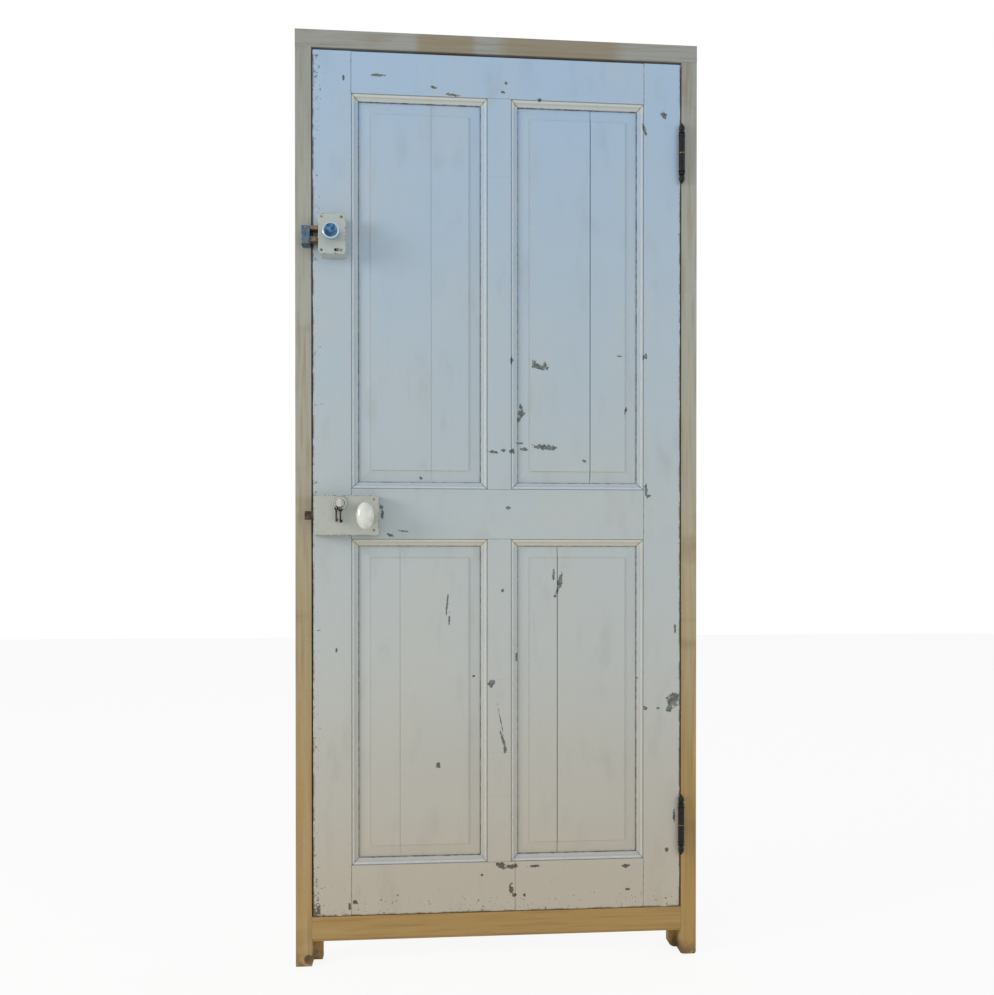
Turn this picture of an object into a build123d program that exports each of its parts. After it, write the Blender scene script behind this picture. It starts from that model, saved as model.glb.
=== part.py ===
from build123d import *
import os

# Four-panel door hung in its own frame, with a rim lock, a night latch and two finial hinges.
# Millimetres, +Z up, +X to the hinge side, +Y into the wall. The origin is under the middle of
# the frame: mid-width, mid-thickness of the leaf, and level with the feet of the jambs.

# Leaf
leaf_w = 863.0
leaf_h = 2000.0
leaf_t = 35.0
stile_flat = 88.0
muntin_flat = 55.0
rail_top_flat = 96.5
rail_lock_flat = 116.0
rail_bottom_flat = 116.0
lock_rail_low = 874.0
arris = 1.2

# Moulding worked on the edges of stiles, rails and muntins
mould_w = 16.0
quirk_w = 1.5
quirk_d = 2.0
bead_start_d = 0.9
bead_mid_d = 1.1
bead_end_d = 3.5
member_split = 8.2
cove_start_d = 4.5
cove_mid_d = 5.9
mould_edge_d = 6.5
groove_w = 8.0
groove_depth = 12.0

# Joints of the leaf
tenon_len = 70.0
tenon_inset = 8.0
tenon_end_inset = 24.0
stub_len = 20.0
stub_inset = 6.0
joint_play = 0.2

# Panels, two boards each
field_d = 5.2
field_step = 1.6
margin_w = 28.0
margin_edge_d = 9.8
panel_play = 1.5
panel_slide = 0.1
sight_play = 0.4
board_tongue_t = 4.0
board_tongue_len = 6.0
board_tongue_play = 0.3
split_upper_lock = stile_flat + 184.4
split_upper_hinge = leaf_w - stile_flat - 127.6
split_lower_lock = stile_flat + 111.9
split_lower_hinge = leaf_w - stile_flat - 205.6
tight_split = 0.5
open_split = 1.8

# Shrinkage crack across the bottom rail
crack_at = 468.4
crack_w = 1.0
crack_d = 2.5

# Frame
gap_side = 3.0
gap_top = 6.5
gap_bottom = 1.5
foot_drop = 115.0
jamb_face = 37.0
head_face = 40.0
lip_w = 20.5
lip_t = 22.0
lip_gap = 1.0
bar_h = 58.0
bar_bevel_h = 8.0
bar_screw_len = 60.0
bar_bevel_d = 5.0
head_tenon_t = 14.0
head_tenon_len = 26.0
head_tenon_inset = 5.0
worn_foot_h = 22.0
worn_foot_in = 9.0
worn_outer = 6.0
worn_outer_in = 2.0
worn_outer_h = 1.4
worn_hollow_h = 7.0
worn_sole_in = 2.0
worn_sole_out = 14.0
worn_sole_h = 2.5
worn_heel_out = 6.0
worn_heel_h = 0.6
knot_r = 13.0
knot_depth = 4.0
knot_up = 16.0
knot_in = 7.0

# Fixing holes through the lips, and the foot screw
fix_hole_r = 3.0
fix_low = 400.0
fix_high = leaf_h - 200.0
foot_screw_up = 18.5
bar_screw_up = 29.0

# Screws
screw_shank_r = 1.6
screw_head_r = 3.4
screw_head_h = 1.6
screw_len = 15.0
screw_slot_w = 0.8
screw_slot_d = 0.6
screw_play = 0.1
small_screw_len = 9.0
screw_end_room = 1.0

# Hinges
hinge_upper_z = leaf_h - 213.0
hinge_lower_z = 196.0
barrel_r = 7.0
barrel_stand = 0.5
barrel_half = 40.0
pin_r = 4.0
pin_play = 0.06
pin_reach = 30.0
washer_t = 1.5
washer_play = 0.1
washer_over = 0.4
pin_chamfer = 0.8
ring_r = 7.8
neck_r = 5.0
ring_band = 4.0
neck_band = 2.5
finial_r = 6.6
finial_h = 21.0
finial_tip_r = 0.9
finial_belly = 0.33
finial_waist = 0.72
finial_foot_in = 0.8
finial_waist_in = 1.6
finial_foot_h = 1.5
ring_bevel = 0.8
pin_room = 1.0
plate_root = 1.0
plate_t = 2.2
plate_bite = 1.1
plate_depth = 24.0
plate_h = 52.0
plate_start = 6.0
plate_screw_in = 11.0
plate_screw_edge = 10.0

# Rim lock
case_x = 5.5
case_w = 147.5
case_h = 91.0
case_low = lock_rail_low + 7.5
case_d = 30.0
case_wall = 2.0
case_round = 4.0
case_edge = 1.2
back_plate_t = 1.5
latch_h = 19.5
latch_low = case_low + 35.5
latch_t = 13.0
latch_out = 21.0
latch_bevel = 9.0
bolt_front = 24.0
bolt_play = 0.4
latch_body = 46.0
neck_len = 14.0
neck_bite = 1.0
tail_lift = 1.0
bolt_low = case_low + 70.5
bolt_h = 13.0
bolt_body = 34.0
tail_t = 3.0
tail_end = 5.0
latch_tail_h = 15.0
knob_x = 124.0
knob_z = case_low + 43.5
hub_r = 8.0
crank_t = 3.0
crank_r = 18.5
crank_pin_r = 2.0
arm_rim = 1.0
crank_swing = 60.0
slot_play = 0.8
arm_gap = 0.6
turn_x = 66.0
turn_z = case_low + 73.0
turn_crank_r = 10.0
turn_swing = 90.0
turn_hub_r = 4.5
turn_rose_r = 17.4
turn_rose_t = 3.0
turn_collar_r = 6.5
turn_collar_len = 10.0
turn_head_r = 10.2
turn_head_t = 8.0
turn_grip_t = 4.0
turn_grip_round = 1.2
turn_stem_in = 2.0
turn_stem_r = 3.5
shaft_play = 0.08
spindle_side = 8.0
spindle_play = 0.1
spindle_hole_r = 9.0
knob_neck_r = 8.5
knob_neck_len = 13.0
knob_flange_r = 12.0
knob_flange_t = 3.0
knob_half_w = 20.5
knob_half_h = 31.0
knob_t = 29.0
knob_bury = 14.0
run_gap = 0.5
outer_rose_r = 22.0
outer_rose_t = 4.0
outer_neck_len = 37.0
case_screw_in = 11.5
case_screw_top = case_low + 82.5
case_screw_low = case_low + 11.5
plate_screw_top = case_low + 58.5
post_wall = 2.0

# Key ring and two keys
keyring_r = 10.5
keyring_wire = 0.9
keyring_seat = 0.05
key_eye_r = 3.2
key_eye_drop = 0.4
key_bow_r = 5.5
key_bow_t = 2.0
key_shank_r = 1.8
key_len = 26.0
key_bit_w = 5.5
key_bit_h = 6.0
key_root = 1.0
key_tip = 1.5
key_turn = 40.0
ring_lean = 40.0
key_left_hang = -40.0
key_right_hang = 14.0

# Night latch
night_x = 17.0
night_w = 62.0
night_low = 1520.0
night_h = 91.5
night_d = 36.0
night_wall = 2.5
night_round = 7.0
night_edge = 2.0
night_knob_x = 48.5
night_knob_z = night_low + 42.0
night_collar_r = 11.0
night_collar_t = 4.0
night_knob_r = 18.7
night_knob_t = 14.0
night_knob_gap = 18.0
night_dish = 2.5
night_rim = 4.0
night_stem_in = 4.0
night_stem_r = 5.0
night_bolt_low = night_low + 41.5
night_bolt_h = 15.0
night_bolt_body = 27.0
night_bolt_proud = 1.0
night_tail_h = 15.5
night_slot_play = 1.5
tail_overlap = 8.0
night_crank_r = 17.0
night_swing = 124.0
night_pin_side = 15.01
ear_high = 8.5
ear_low = 11.0
ear_gap = 0.5
ear_front = 28.0
ear_back = 6.0
ear_reach = 18.8
guide_t = 2.0
guide_clear = 1.0
keeper_x = -22.6
keeper_w = 19.8
keeper_low = night_low + 24.0
keeper_h = 41.0
keeper_d = 29.5
keeper_front_t = 2.5
keeper_side_t = 2.5
keeper_base_t = 2.0
keeper_round = 2.0
keeper_lug_low = 10.0
keeper_lug_high = 7.8
keeper_screw_v = 4.0
snib_x = 60.0
snib_z = night_low + 9.0
snib_w = 5.0
snib_h = 6.0
snib_travel = 4.0
snib_out = 2.2
snib_play = 0.3
night_screw_left = 7.0
night_screw_right = 10.0
night_screw_v = 8.0
cylinder_r = 14.5
cylinder_play = 0.3
cylinder_ring_r = 21.0
cylinder_ring_t = 5.0
cylinder_proud = 3.0
cylinder_in = 1.0
keyway_w = 2.0
keyway_h = 9.0
keyway_d = 6.0

# Planes and edges worked out from the sizes above
X_LOCK = -leaf_w / 2
X_HINGE = leaf_w / 2
Y_FRONT = -leaf_t / 2
Y_BACK = leaf_t / 2
Z_LEAF = foot_drop
Z_TOP = foot_drop + leaf_h
Z_HEAD = Z_TOP + gap_top
Z_BAR = foot_drop - gap_bottom
Y_LIP = Y_BACK + lip_gap
Y_REAR = Y_LIP + lip_t
FRAME_IN = leaf_w / 2 + gap_side
FRAME_OUT = FRAME_IN + jamb_face
LIP_IN = FRAME_IN - lip_w
LIP_MID = (FRAME_IN + LIP_IN) / 2
X_FLAT_L = X_LOCK + stile_flat
X_FLAT_R = X_HINGE - stile_flat
X_MID = (X_FLAT_L + X_FLAT_R) / 2
X_MUN_L = X_MID - muntin_flat / 2
X_MUN_R = X_MID + muntin_flat / 2
Z_BOT_FLAT = Z_LEAF + rail_bottom_flat
Z_LOCK_LO = Z_LEAF + lock_rail_low
Z_LOCK_HI = Z_LOCK_LO + rail_lock_flat
Z_TOP_FLAT = Z_TOP - rail_top_flat
X_AXIS = X_HINGE + gap_side / 2
Y_AXIS = Y_FRONT - barrel_stand - barrel_r
CASE_FRONT = Y_FRONT - case_d
NIGHT_FRONT = Y_FRONT - night_d

os.makedirs("parts", exist_ok=True)


def keep(piece, name):
    """Label a finished piece and write it to its own file."""
    piece.part.label = name
    export_step(piece.part, f"parts/{name}.step")


def at_leaf(x, z):
    """A point given from the leaf's lock-side bottom corner, in the frame of the part."""
    return X_LOCK + x, Z_LEAF + z


# Moulded members of the leaf
def moulding_void(edge, way, face):
    """The wood taken off one face by the moulding plane, beside an edge of the flat."""

    def spot(u, d):
        return edge + way * u, face * (leaf_t / 2 - d)

    with BuildLine() as plane_cut:
        Polyline(spot(0, -1), spot(0, quirk_d), spot(quirk_w, quirk_d), spot(quirk_w, bead_start_d))
        ThreePointArc(
            spot(quirk_w, bead_start_d),
            spot((quirk_w + member_split) / 2, bead_mid_d),
            spot(member_split, bead_end_d),
        )
        Line(spot(member_split, bead_end_d), spot(member_split, cove_start_d))
        ThreePointArc(
            spot(member_split, cove_start_d),
            spot((member_split + mould_w) / 2, cove_mid_d),
            spot(mould_w, mould_edge_d),
        )
        Polyline(
            spot(mould_w, mould_edge_d),
            spot(mould_w + 1, mould_edge_d),
            spot(mould_w + 1, -1),
            spot(0, -1),
        )
    make_face(plane_cut.edges(), mode=Mode.SUBTRACT)


def member_section(plane, low, high, low_moulded, high_moulded):
    """Section of a member: flat between low and high, moulded and grooved on the stated edges."""
    start = low - mould_w if low_moulded else low
    end = high + mould_w if high_moulded else high
    with BuildSketch(plane) as section:
        with Locations(((start + end) / 2, 0)):
            Rectangle(end - start, leaf_t)
        if not high_moulded:
            chamfer(section.vertices().group_by(Axis.X)[-1], arris)
        if not low_moulded:
            chamfer(section.vertices().group_by(Axis.X)[0], arris)
        for edge, way, moulded in ((low, -1, low_moulded), (high, 1, high_moulded)):
            if moulded:
                for face in (-1, 1):
                    moulding_void(edge, way, face)
                with Locations((edge + way * (mould_w - groove_depth / 2), 0)):
                    Rectangle(groove_depth, groove_w, mode=Mode.SUBTRACT)
    return section.sketch


def cut_through(points):
    """Cut a polygon of the door's face right through the leaf."""
    with BuildSketch(Plane.XZ) as outline:
        with BuildLine():
            Polyline(*points, close=True)
        make_face()
    extrude(outline.sketch, amount=leaf_t, both=True, mode=Mode.SUBTRACT)


def block(x0, x1, y0, y1, z0, z1, mode=Mode.ADD):
    """A squared block between two corners."""
    with Locations(((x0 + x1) / 2, (y0 + y1) / 2, (z0 + z1) / 2)):
        Box(abs(x1 - x0), abs(y1 - y0), abs(z1 - z0), mode=mode)


def bore_y(x, z, radius, y0, y1, mode=Mode.SUBTRACT):
    """A round bore, or a round bar, lying along Y."""
    with Locations(Location((x, (y0 + y1) / 2, z), (90, 0, 0))):
        Cylinder(radius, abs(y1 - y0), mode=mode)


def bore_x(y, z, radius, x0, x1, mode=Mode.SUBTRACT):
    """A round bore, or a round bar, lying along X."""
    with Locations(Location(((x0 + x1) / 2, y, z), (0, 90, 0))):
        Cylinder(radius, abs(x1 - x0), mode=mode)


tenon_t = groove_w
TENONS = (
    (Z_LEAF + tenon_end_inset, Z_BOT_FLAT - tenon_inset),
    (Z_LOCK_LO + tenon_inset, Z_LOCK_HI - tenon_inset),
    (Z_TOP_FLAT + tenon_inset, Z_TOP - tenon_end_inset),
)
RAIL_SPANS = ((Z_LEAF, Z_BOT_FLAT), (Z_LOCK_LO, Z_LOCK_HI), (Z_TOP_FLAT, Z_TOP))
HINGE_MIDS = (Z_LEAF + hinge_lower_z, Z_LEAF + hinge_upper_z)


def hinge_screw_heights(mid, side):
    """Heights of the two screws of one hinge plate; the leaf's plate is above the middle."""
    near = mid + side * (plate_start + plate_screw_edge)
    far = mid + side * (plate_start + plate_h - plate_screw_edge)
    return near, far


def plate_recess(side):
    """Recesses and screw holes for the hinge plates, in the leaf (side 1) or the jamb (side -1)."""
    face_x = X_HINGE if side > 0 else FRAME_IN
    for mid in HINGE_MIDS:
        z0 = mid + side * (plate_start - joint_play)
        z1 = mid + side * (plate_start + plate_h + joint_play)
        block(
            face_x - side * (plate_bite + screw_play),
            face_x + side,
            Y_FRONT - 1,
            Y_FRONT + plate_depth + joint_play,
            z0,
            z1,
            mode=Mode.SUBTRACT,
        )
        for z in hinge_screw_heights(mid, side):
            bore_x(
                Y_FRONT + plate_screw_in,
                z,
                screw_shank_r + screw_play,
                face_x,
                face_x - side * (plate_bite + screw_len + screw_play),
            )


def stile(edge_flat, way, lock_side):
    """A stile run as one moulding, cut back and mortised for the three rails."""
    outer = edge_flat - way * stile_flat
    low, high = min(outer, edge_flat), max(outer, edge_flat)
    with BuildPart() as piece:
        extrude(member_section(Plane.XY.offset(Z_LEAF), low, high, way < 0, way > 0), amount=leaf_h)
        tip = edge_flat + way * (mould_w + 1)
        for z0, z1 in RAIL_SPANS:
            z_low = z0 - mould_w - 1 if z0 > Z_LEAF else z0
            z_high = z1 + mould_w + 1 if z1 < Z_TOP else z1
            cut_through([(edge_flat, z0), (tip, z_low), (tip, z_high), (edge_flat, z1)])
        for z0, z1 in TENONS:
            block(
                edge_flat - way * (tenon_len + panel_play),
                edge_flat + way,
                -tenon_t / 2 - joint_play,
                tenon_t / 2 + joint_play,
                z0 - joint_play,
                z1 + joint_play,
                mode=Mode.SUBTRACT,
            )
        if lock_side:
            x, z = at_leaf(turn_x, turn_z)
            bore_y(x, z, cylinder_r + cylinder_play, -leaf_t, leaf_t)
            x, z = at_leaf(night_knob_x, night_knob_z)
            bore_y(x, z, cylinder_r + cylinder_play, -leaf_t, leaf_t)
            for x, z in (*night_screw_spots(), *case_plate_spots()):
                bore_y(x, z, screw_shank_r + screw_play, Y_FRONT - 1, Y_FRONT + screw_len)
        else:
            plate_recess(1)
    return piece


def night_screw_spots():
    """The four corner screws of the night latch."""
    x0, z0 = at_leaf(night_x, night_low)
    xs = (x0 + night_screw_left, x0 + night_w - night_screw_right)
    zs = (z0 + night_screw_v, z0 + night_h - night_screw_v)
    return [(x, z) for x in xs for z in zs]


def case_screw_spots():
    """The two screws seen on the rim lock, at its knob end."""
    x = X_LOCK + case_x + case_w - case_screw_in
    return [(x, Z_LEAF + case_screw_low), (x, Z_LEAF + case_screw_top)]


def case_plate_spots():
    """The two screws of the rim lock's back plate, at the bolt end, under the case."""
    x = X_LOCK + case_x + case_screw_in
    return [(x, Z_LEAF + case_screw_low), (x, Z_LEAF + plate_screw_top)]


def keeper_screw_spots():
    """The two screws of the night latch's keeper, in the face of the lock jamb."""
    x, z = at_leaf(keeper_x + keeper_w / 2, keeper_low)
    return [(x, z + keeper_screw_v), (x, z + keeper_h - keeper_screw_v)]


stile_lock = stile(X_FLAT_L, 1, True)
keep(stile_lock, "stile_lock")
stile_hinge = stile(X_FLAT_R, -1, False)
keep(stile_hinge, "stile_hinge")


def rail(span, tenon, low_moulded, high_moulded):
    """A rail between the stiles, with mitred mouldings, tenons, and mortises for the muntins."""
    z0, z1 = span
    with BuildPart() as piece:
        section_plane = Plane(origin=(X_FLAT_L, 0, 0), x_dir=(0, 0, 1), z_dir=(1, 0, 0))
        extrude(member_section(section_plane, z0, z1, low_moulded, high_moulded), amount=X_FLAT_R - X_FLAT_L)
        over = mould_w + 1
        for flat, way, moulded in ((z0, -1, low_moulded), (z1, 1, high_moulded)):
            if not moulded:
                continue
            tip = flat + way * over
            cut_through([(X_FLAT_L, flat), (X_FLAT_L + over, tip), (X_FLAT_L, tip)])
            cut_through([(X_FLAT_R, flat), (X_FLAT_R - over, tip), (X_FLAT_R, tip)])
            cut_through([(X_MUN_L, flat), (X_MUN_R, flat), (X_MUN_R + over, tip), (X_MUN_L - over, tip)])
            block(
                X_MUN_L + stub_inset - joint_play,
                X_MUN_R - stub_inset + joint_play,
                -tenon_t / 2 - joint_play,
                tenon_t / 2 + joint_play,
                flat - way * (stub_len + panel_play),
                flat + way,
                mode=Mode.SUBTRACT,
            )
        for x0, x1 in ((X_FLAT_L - tenon_len, X_FLAT_L), (X_FLAT_R, X_FLAT_R + tenon_len)):
            block(x0, x1, -tenon_t / 2, tenon_t / 2, *tenon)
        if low_moulded and high_moulded:
            x, z = at_leaf(turn_x, turn_z)
            bore_y(x, z, cylinder_r + cylinder_play, -leaf_t, leaf_t)
            x, z = at_leaf(knob_x, knob_z)
            bore_y(x, z, spindle_hole_r, -leaf_t, leaf_t)
            for x, z in case_screw_spots():
                bore_y(x, z, screw_shank_r + screw_play, Y_FRONT - 1, Y_FRONT + screw_len)
            for x, z in case_plate_spots():
                bore_y(x, z, screw_shank_r + screw_play, Y_FRONT - 1, Y_FRONT + screw_len)
        if not low_moulded:
            x = X_LOCK + crack_at
            block(x, x + crack_w, Y_FRONT - 1, Y_FRONT + crack_d, z0 - 1, z1 + over, mode=Mode.SUBTRACT)
    return piece


rail_bottom = rail(RAIL_SPANS[0], TENONS[0], False, True)
keep(rail_bottom, "rail_bottom")
rail_lock = rail(RAIL_SPANS[1], TENONS[1], True, True)
keep(rail_lock, "rail_lock")
rail_top = rail(RAIL_SPANS[2], TENONS[2], True, False)
keep(rail_top, "rail_top")


def muntin(z0, z1):
    """An upright between the panels, with mitred mouldings and a stub tenon at each end."""
    with BuildPart() as piece:
        extrude(member_section(Plane.XY.offset(z0), X_MUN_L, X_MUN_R, True, True), amount=z1 - z0)
        over = mould_w + 1
        for flat, way in ((z0, 1), (z1, -1)):
            tip = flat + way * over
            cut_through([(X_MUN_L, flat), (X_MUN_L - over, tip), (X_MUN_L - over, flat)])
            cut_through([(X_MUN_R, flat), (X_MUN_R + over, tip), (X_MUN_R + over, flat)])
            block(
                X_MUN_L + stub_inset,
                X_MUN_R - stub_inset,
                -tenon_t / 2,
                tenon_t / 2,
                flat - way * stub_len,
                flat,
            )
    return piece


muntin_lower = muntin(Z_BOT_FLAT, Z_LOCK_LO)
keep(muntin_lower, "muntin_lower")
muntin_upper = muntin(Z_LOCK_HI, Z_TOP_FLAT)
keep(muntin_upper, "muntin_upper")


# Panels
def board(sight_x, sight_z, outer_side, split, split_w):
    """One of a panel's two boards: raised field, sloping margin, and a tongue into the frame."""
    tuck = groove_depth - panel_play
    front = Y_FRONT + field_d
    step = front + field_step
    margin = Y_FRONT + margin_edge_d
    tongue = groove_w / 2 - panel_slide
    way = 1 if outer_side < 0 else -1
    rim = sight_x[0] if outer_side < 0 else sight_x[1]
    joint = split - way * split_w / 2
    z_low, z_high = sight_z[0] - tuck, sight_z[1] + tuck
    with BuildPart() as piece:
        with BuildSketch(Plane.XY.offset(z_low)):
            with BuildLine():
                Polyline(
                    (rim - way * tuck, tongue),
                    (rim - way * tuck, -tongue),
                    (rim + way * sight_play, -tongue),
                    (rim + way * sight_play, margin),
                    (rim + way * margin_w, step),
                    (rim + way * margin_w, front),
                    (joint, front),
                    (joint, tongue),
                    close=True,
                )
            make_face()
        extrude(amount=z_high - z_low)
        mid_y = (front + tongue) / 2
        half = board_tongue_t / 2
        if outer_side < 0:
            block(
                joint,
                joint + split_w + board_tongue_len,
                mid_y - half,
                mid_y + half,
                z_low,
                z_high,
            )
        else:
            block(
                joint - 1,
                joint + board_tongue_len + 2 * board_tongue_play,
                mid_y - half - board_tongue_play,
                mid_y + half + board_tongue_play,
                z_low - 1,
                z_high + 1,
                mode=Mode.SUBTRACT,
            )
        x_lo = min(rim - way * tuck, joint) - 1
        x_hi = max(rim - way * tuck, joint) + split_w + board_tongue_len + 1
        for edge, inward in ((sight_z[0], 1), (sight_z[1], -1)):
            with BuildSketch(Plane(origin=(x_lo, 0, 0), x_dir=(0, 1, 0), z_dir=(1, 0, 0))):
                with BuildLine():
                    Polyline(
                        (-tongue, edge - inward * (tuck + 1)),
                        (-tongue, edge + inward * sight_play),
                        (margin, edge + inward * sight_play),
                        (step, edge + inward * margin_w),
                        (front - 1, edge + inward * margin_w),
                        (front - 1, edge - inward * (tuck + 1)),
                        close=True,
                    )
                make_face()
            extrude(amount=x_hi - x_lo, mode=Mode.SUBTRACT)
    return piece


SIGHT_L = (X_FLAT_L + mould_w, X_MUN_L - mould_w)
SIGHT_R = (X_MUN_R + mould_w, X_FLAT_R - mould_w)
SIGHT_LOW = (Z_BOT_FLAT + mould_w, Z_LOCK_LO - mould_w)
SIGHT_HIGH = (Z_LOCK_HI + mould_w, Z_TOP_FLAT - mould_w)
PANELS = (
    ("upper_lock", SIGHT_L, SIGHT_HIGH, split_upper_lock, tight_split),
    ("upper_hinge", SIGHT_R, SIGHT_HIGH, split_upper_hinge, open_split),
    ("lower_lock", SIGHT_L, SIGHT_LOW, split_lower_lock, tight_split),
    ("lower_hinge", SIGHT_R, SIGHT_LOW, split_lower_hinge, open_split),
)
for tag, sight_x, sight_z, split, split_w in PANELS:
    left_board = board(sight_x, sight_z, -1, X_LOCK + split, split_w)
    keep(left_board, f"panel_{tag}_left")
    right_board = board(sight_x, sight_z, 1, X_LOCK + split, split_w)
    keep(right_board, f"panel_{tag}_right")


# Frame
def fixing_holes(side):
    """Two fixing holes through the lip of one jamb, for screws into the wall."""
    for z in (fix_low, fix_high):
        bore_y(side * LIP_MID, z, fix_hole_r, Y_LIP - 1, Y_REAR + 1)


def jamb(side):
    """A rebated jamb with its lip, tenoned into the head; side is -1 at the lock, 1 at the hinges."""
    with BuildPart() as piece:
        with BuildSketch(Plane.XY) as section:
            with BuildLine():
                Polyline(
                    (side * FRAME_OUT, Y_FRONT),
                    (side * FRAME_IN, Y_FRONT),
                    (side * FRAME_IN, Y_LIP),
                    (side * LIP_IN, Y_LIP),
                    (side * LIP_IN, Y_REAR),
                    (side * FRAME_OUT, Y_REAR),
                    close=True,
                )
            make_face()
            front_corners = section.vertices().group_by(Axis.Y)[0]
            chamfer(front_corners, arris)
        extrude(amount=Z_HEAD)
        tenon_y = (Y_FRONT + Y_REAR) / 2
        block(
            side * (FRAME_IN + head_tenon_inset),
            side * (FRAME_OUT - head_tenon_inset),
            tenon_y - head_tenon_t / 2,
            tenon_y + head_tenon_t / 2,
            Z_HEAD,
            Z_HEAD + head_tenon_len,
        )
        fixing_holes(side)
        bore_x(
            (Y_FRONT + Y_LIP) / 2,
            Z_BAR - bar_screw_up,
            screw_shank_r + screw_play,
            side * (FRAME_IN - 1),
            side * (FRAME_OUT + 1),
        )
        bore_x(
            (Y_FRONT + Y_LIP) / 2,
            Z_BAR - bar_screw_up,
            screw_head_r + screw_play,
            side * (FRAME_OUT - screw_head_h - screw_play),
            side * (FRAME_OUT + 1),
        )
    return piece


with BuildPart() as frame_jamb_lock:
    add(jamb(-1))
    bore_y(-LIP_MID, foot_screw_up, screw_shank_r + screw_play, Y_LIP - 1, Y_REAR + 1)
    # A dead knot has fallen out of the face near the foot
    with Locations((-FRAME_IN - knot_in, Y_FRONT - knot_r + knot_depth, knot_up)):
        Sphere(knot_r, mode=Mode.SUBTRACT)
    for x, z in keeper_screw_spots():
        bore_y(x, z, screw_shank_r + screw_play, Y_FRONT - 1, Y_FRONT + small_screw_len + 1)
keep(frame_jamb_lock, "frame_jamb_lock")

with BuildPart() as frame_jamb_hinge:
    add(jamb(1))
    plate_recess(-1)
    # The foot has rotted and worn round at its inner corner
    with BuildSketch(Plane.XZ) as rot:
        with BuildLine():
            Line((LIP_IN - 1, -1), (LIP_IN - 1, worn_foot_h))
            ThreePointArc(
                (LIP_IN - 1, worn_foot_h),
                (LIP_IN + worn_foot_in / 2, worn_hollow_h),
                (FRAME_IN - worn_sole_in, worn_sole_h),
            )
            ThreePointArc(
                (FRAME_IN - worn_sole_in, worn_sole_h),
                (FRAME_IN + worn_heel_out, worn_heel_h),
                (FRAME_IN + worn_sole_out, -1),
            )
            Line((FRAME_IN + worn_sole_out, -1), (LIP_IN - 1, -1))
        make_face()
        with BuildLine():
            Polyline(
                (FRAME_OUT + 1, worn_outer),
                (FRAME_OUT, worn_outer),
                (FRAME_OUT - worn_outer_in, worn_outer_h),
                (FRAME_OUT - worn_outer, -1),
                (FRAME_OUT + 1, -1),
                close=True,
            )
        make_face()
    extrude(amount=Y_REAR + leaf_t, both=True, mode=Mode.SUBTRACT)
keep(frame_jamb_hinge, "frame_jamb_hinge")

with BuildPart() as frame_head:
    with BuildSketch(Plane(origin=(-FRAME_OUT, 0, 0), x_dir=(0, 1, 0), z_dir=(1, 0, 0))) as head_section:
        with BuildLine():
            Polyline(
                (Y_FRONT, Z_HEAD),
                (Y_FRONT, Z_HEAD + head_face),
                (Y_REAR, Z_HEAD + head_face),
                (Y_REAR, Z_HEAD),
                close=True,
            )
        make_face()
        chamfer(head_section.vertices().group_by(Axis.Y)[0], arris)
    extrude(amount=2 * FRAME_OUT)
    block(-LIP_IN, LIP_IN, Y_LIP, Y_REAR, Z_HEAD - lip_w, Z_HEAD)
    for side in (-1, 1):
        tenon_mid = (Y_FRONT + Y_REAR) / 2
        block(
            side * (FRAME_IN + head_tenon_inset - joint_play),
            side * (FRAME_OUT - head_tenon_inset + joint_play),
            tenon_mid - head_tenon_t / 2 - joint_play,
            tenon_mid + head_tenon_t / 2 + joint_play,
            Z_HEAD - 1,
            Z_HEAD + head_tenon_len + joint_play,
            mode=Mode.SUBTRACT,
        )
keep(frame_head, "frame_head")

with BuildPart() as frame_bottom_bar:
    with BuildSketch(Plane(origin=(-FRAME_IN, 0, 0), x_dir=(0, 1, 0), z_dir=(1, 0, 0))):
        with BuildLine():
            Polyline(
                (Y_FRONT, Z_BAR),
                (Y_LIP, Z_BAR),
                (Y_LIP, Z_BAR - bar_h),
                (Y_FRONT + bar_bevel_d, Z_BAR - bar_h),
                (Y_FRONT, Z_BAR - bar_h + bar_bevel_h),
                close=True,
            )
        make_face()
    extrude(amount=2 * FRAME_IN)
    for side in (-1, 1):
        bore_x(
            (Y_FRONT + Y_LIP) / 2,
            Z_BAR - bar_screw_up,
            screw_shank_r + screw_play,
            side * (FRAME_IN + 1),
            side * (FRAME_OUT - bar_screw_len - screw_play),
        )
keep(frame_bottom_bar, "frame_bottom_bar")


# Screws
def screw(location, length, head=True):
    """A slotted countersunk screw: its head's face at the location, its shank along local -Z."""
    with Locations(location):
        with Locations((0, 0, -screw_head_h / 2)):
            Cone(screw_shank_r, screw_head_r, screw_head_h)
        with Locations((0, 0, -(length + screw_head_h) / 2)):
            Cylinder(screw_shank_r, length - screw_head_h)
        with Locations((0, 0, 0)):
            Box(2.2 * screw_head_r, screw_slot_w, 2 * screw_slot_d, mode=Mode.SUBTRACT)


FACING_FRONT = (90, 0, 0)

with BuildPart() as frame_foot_screw:
    screw(Location((-LIP_MID, Y_LIP - screw_head_h, foot_screw_up), FACING_FRONT), lip_t)
keep(frame_foot_screw, "frame_foot_screw")

with BuildPart() as bar_screws:
    for side in (-1, 1):
        screw(
            Location(
                (side * FRAME_OUT, (Y_FRONT + Y_LIP) / 2, Z_BAR - bar_screw_up),
                (0, side * 90, 0),
            ),
            bar_screw_len,
        )
keep(bar_screws, "bar_screws")


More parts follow.
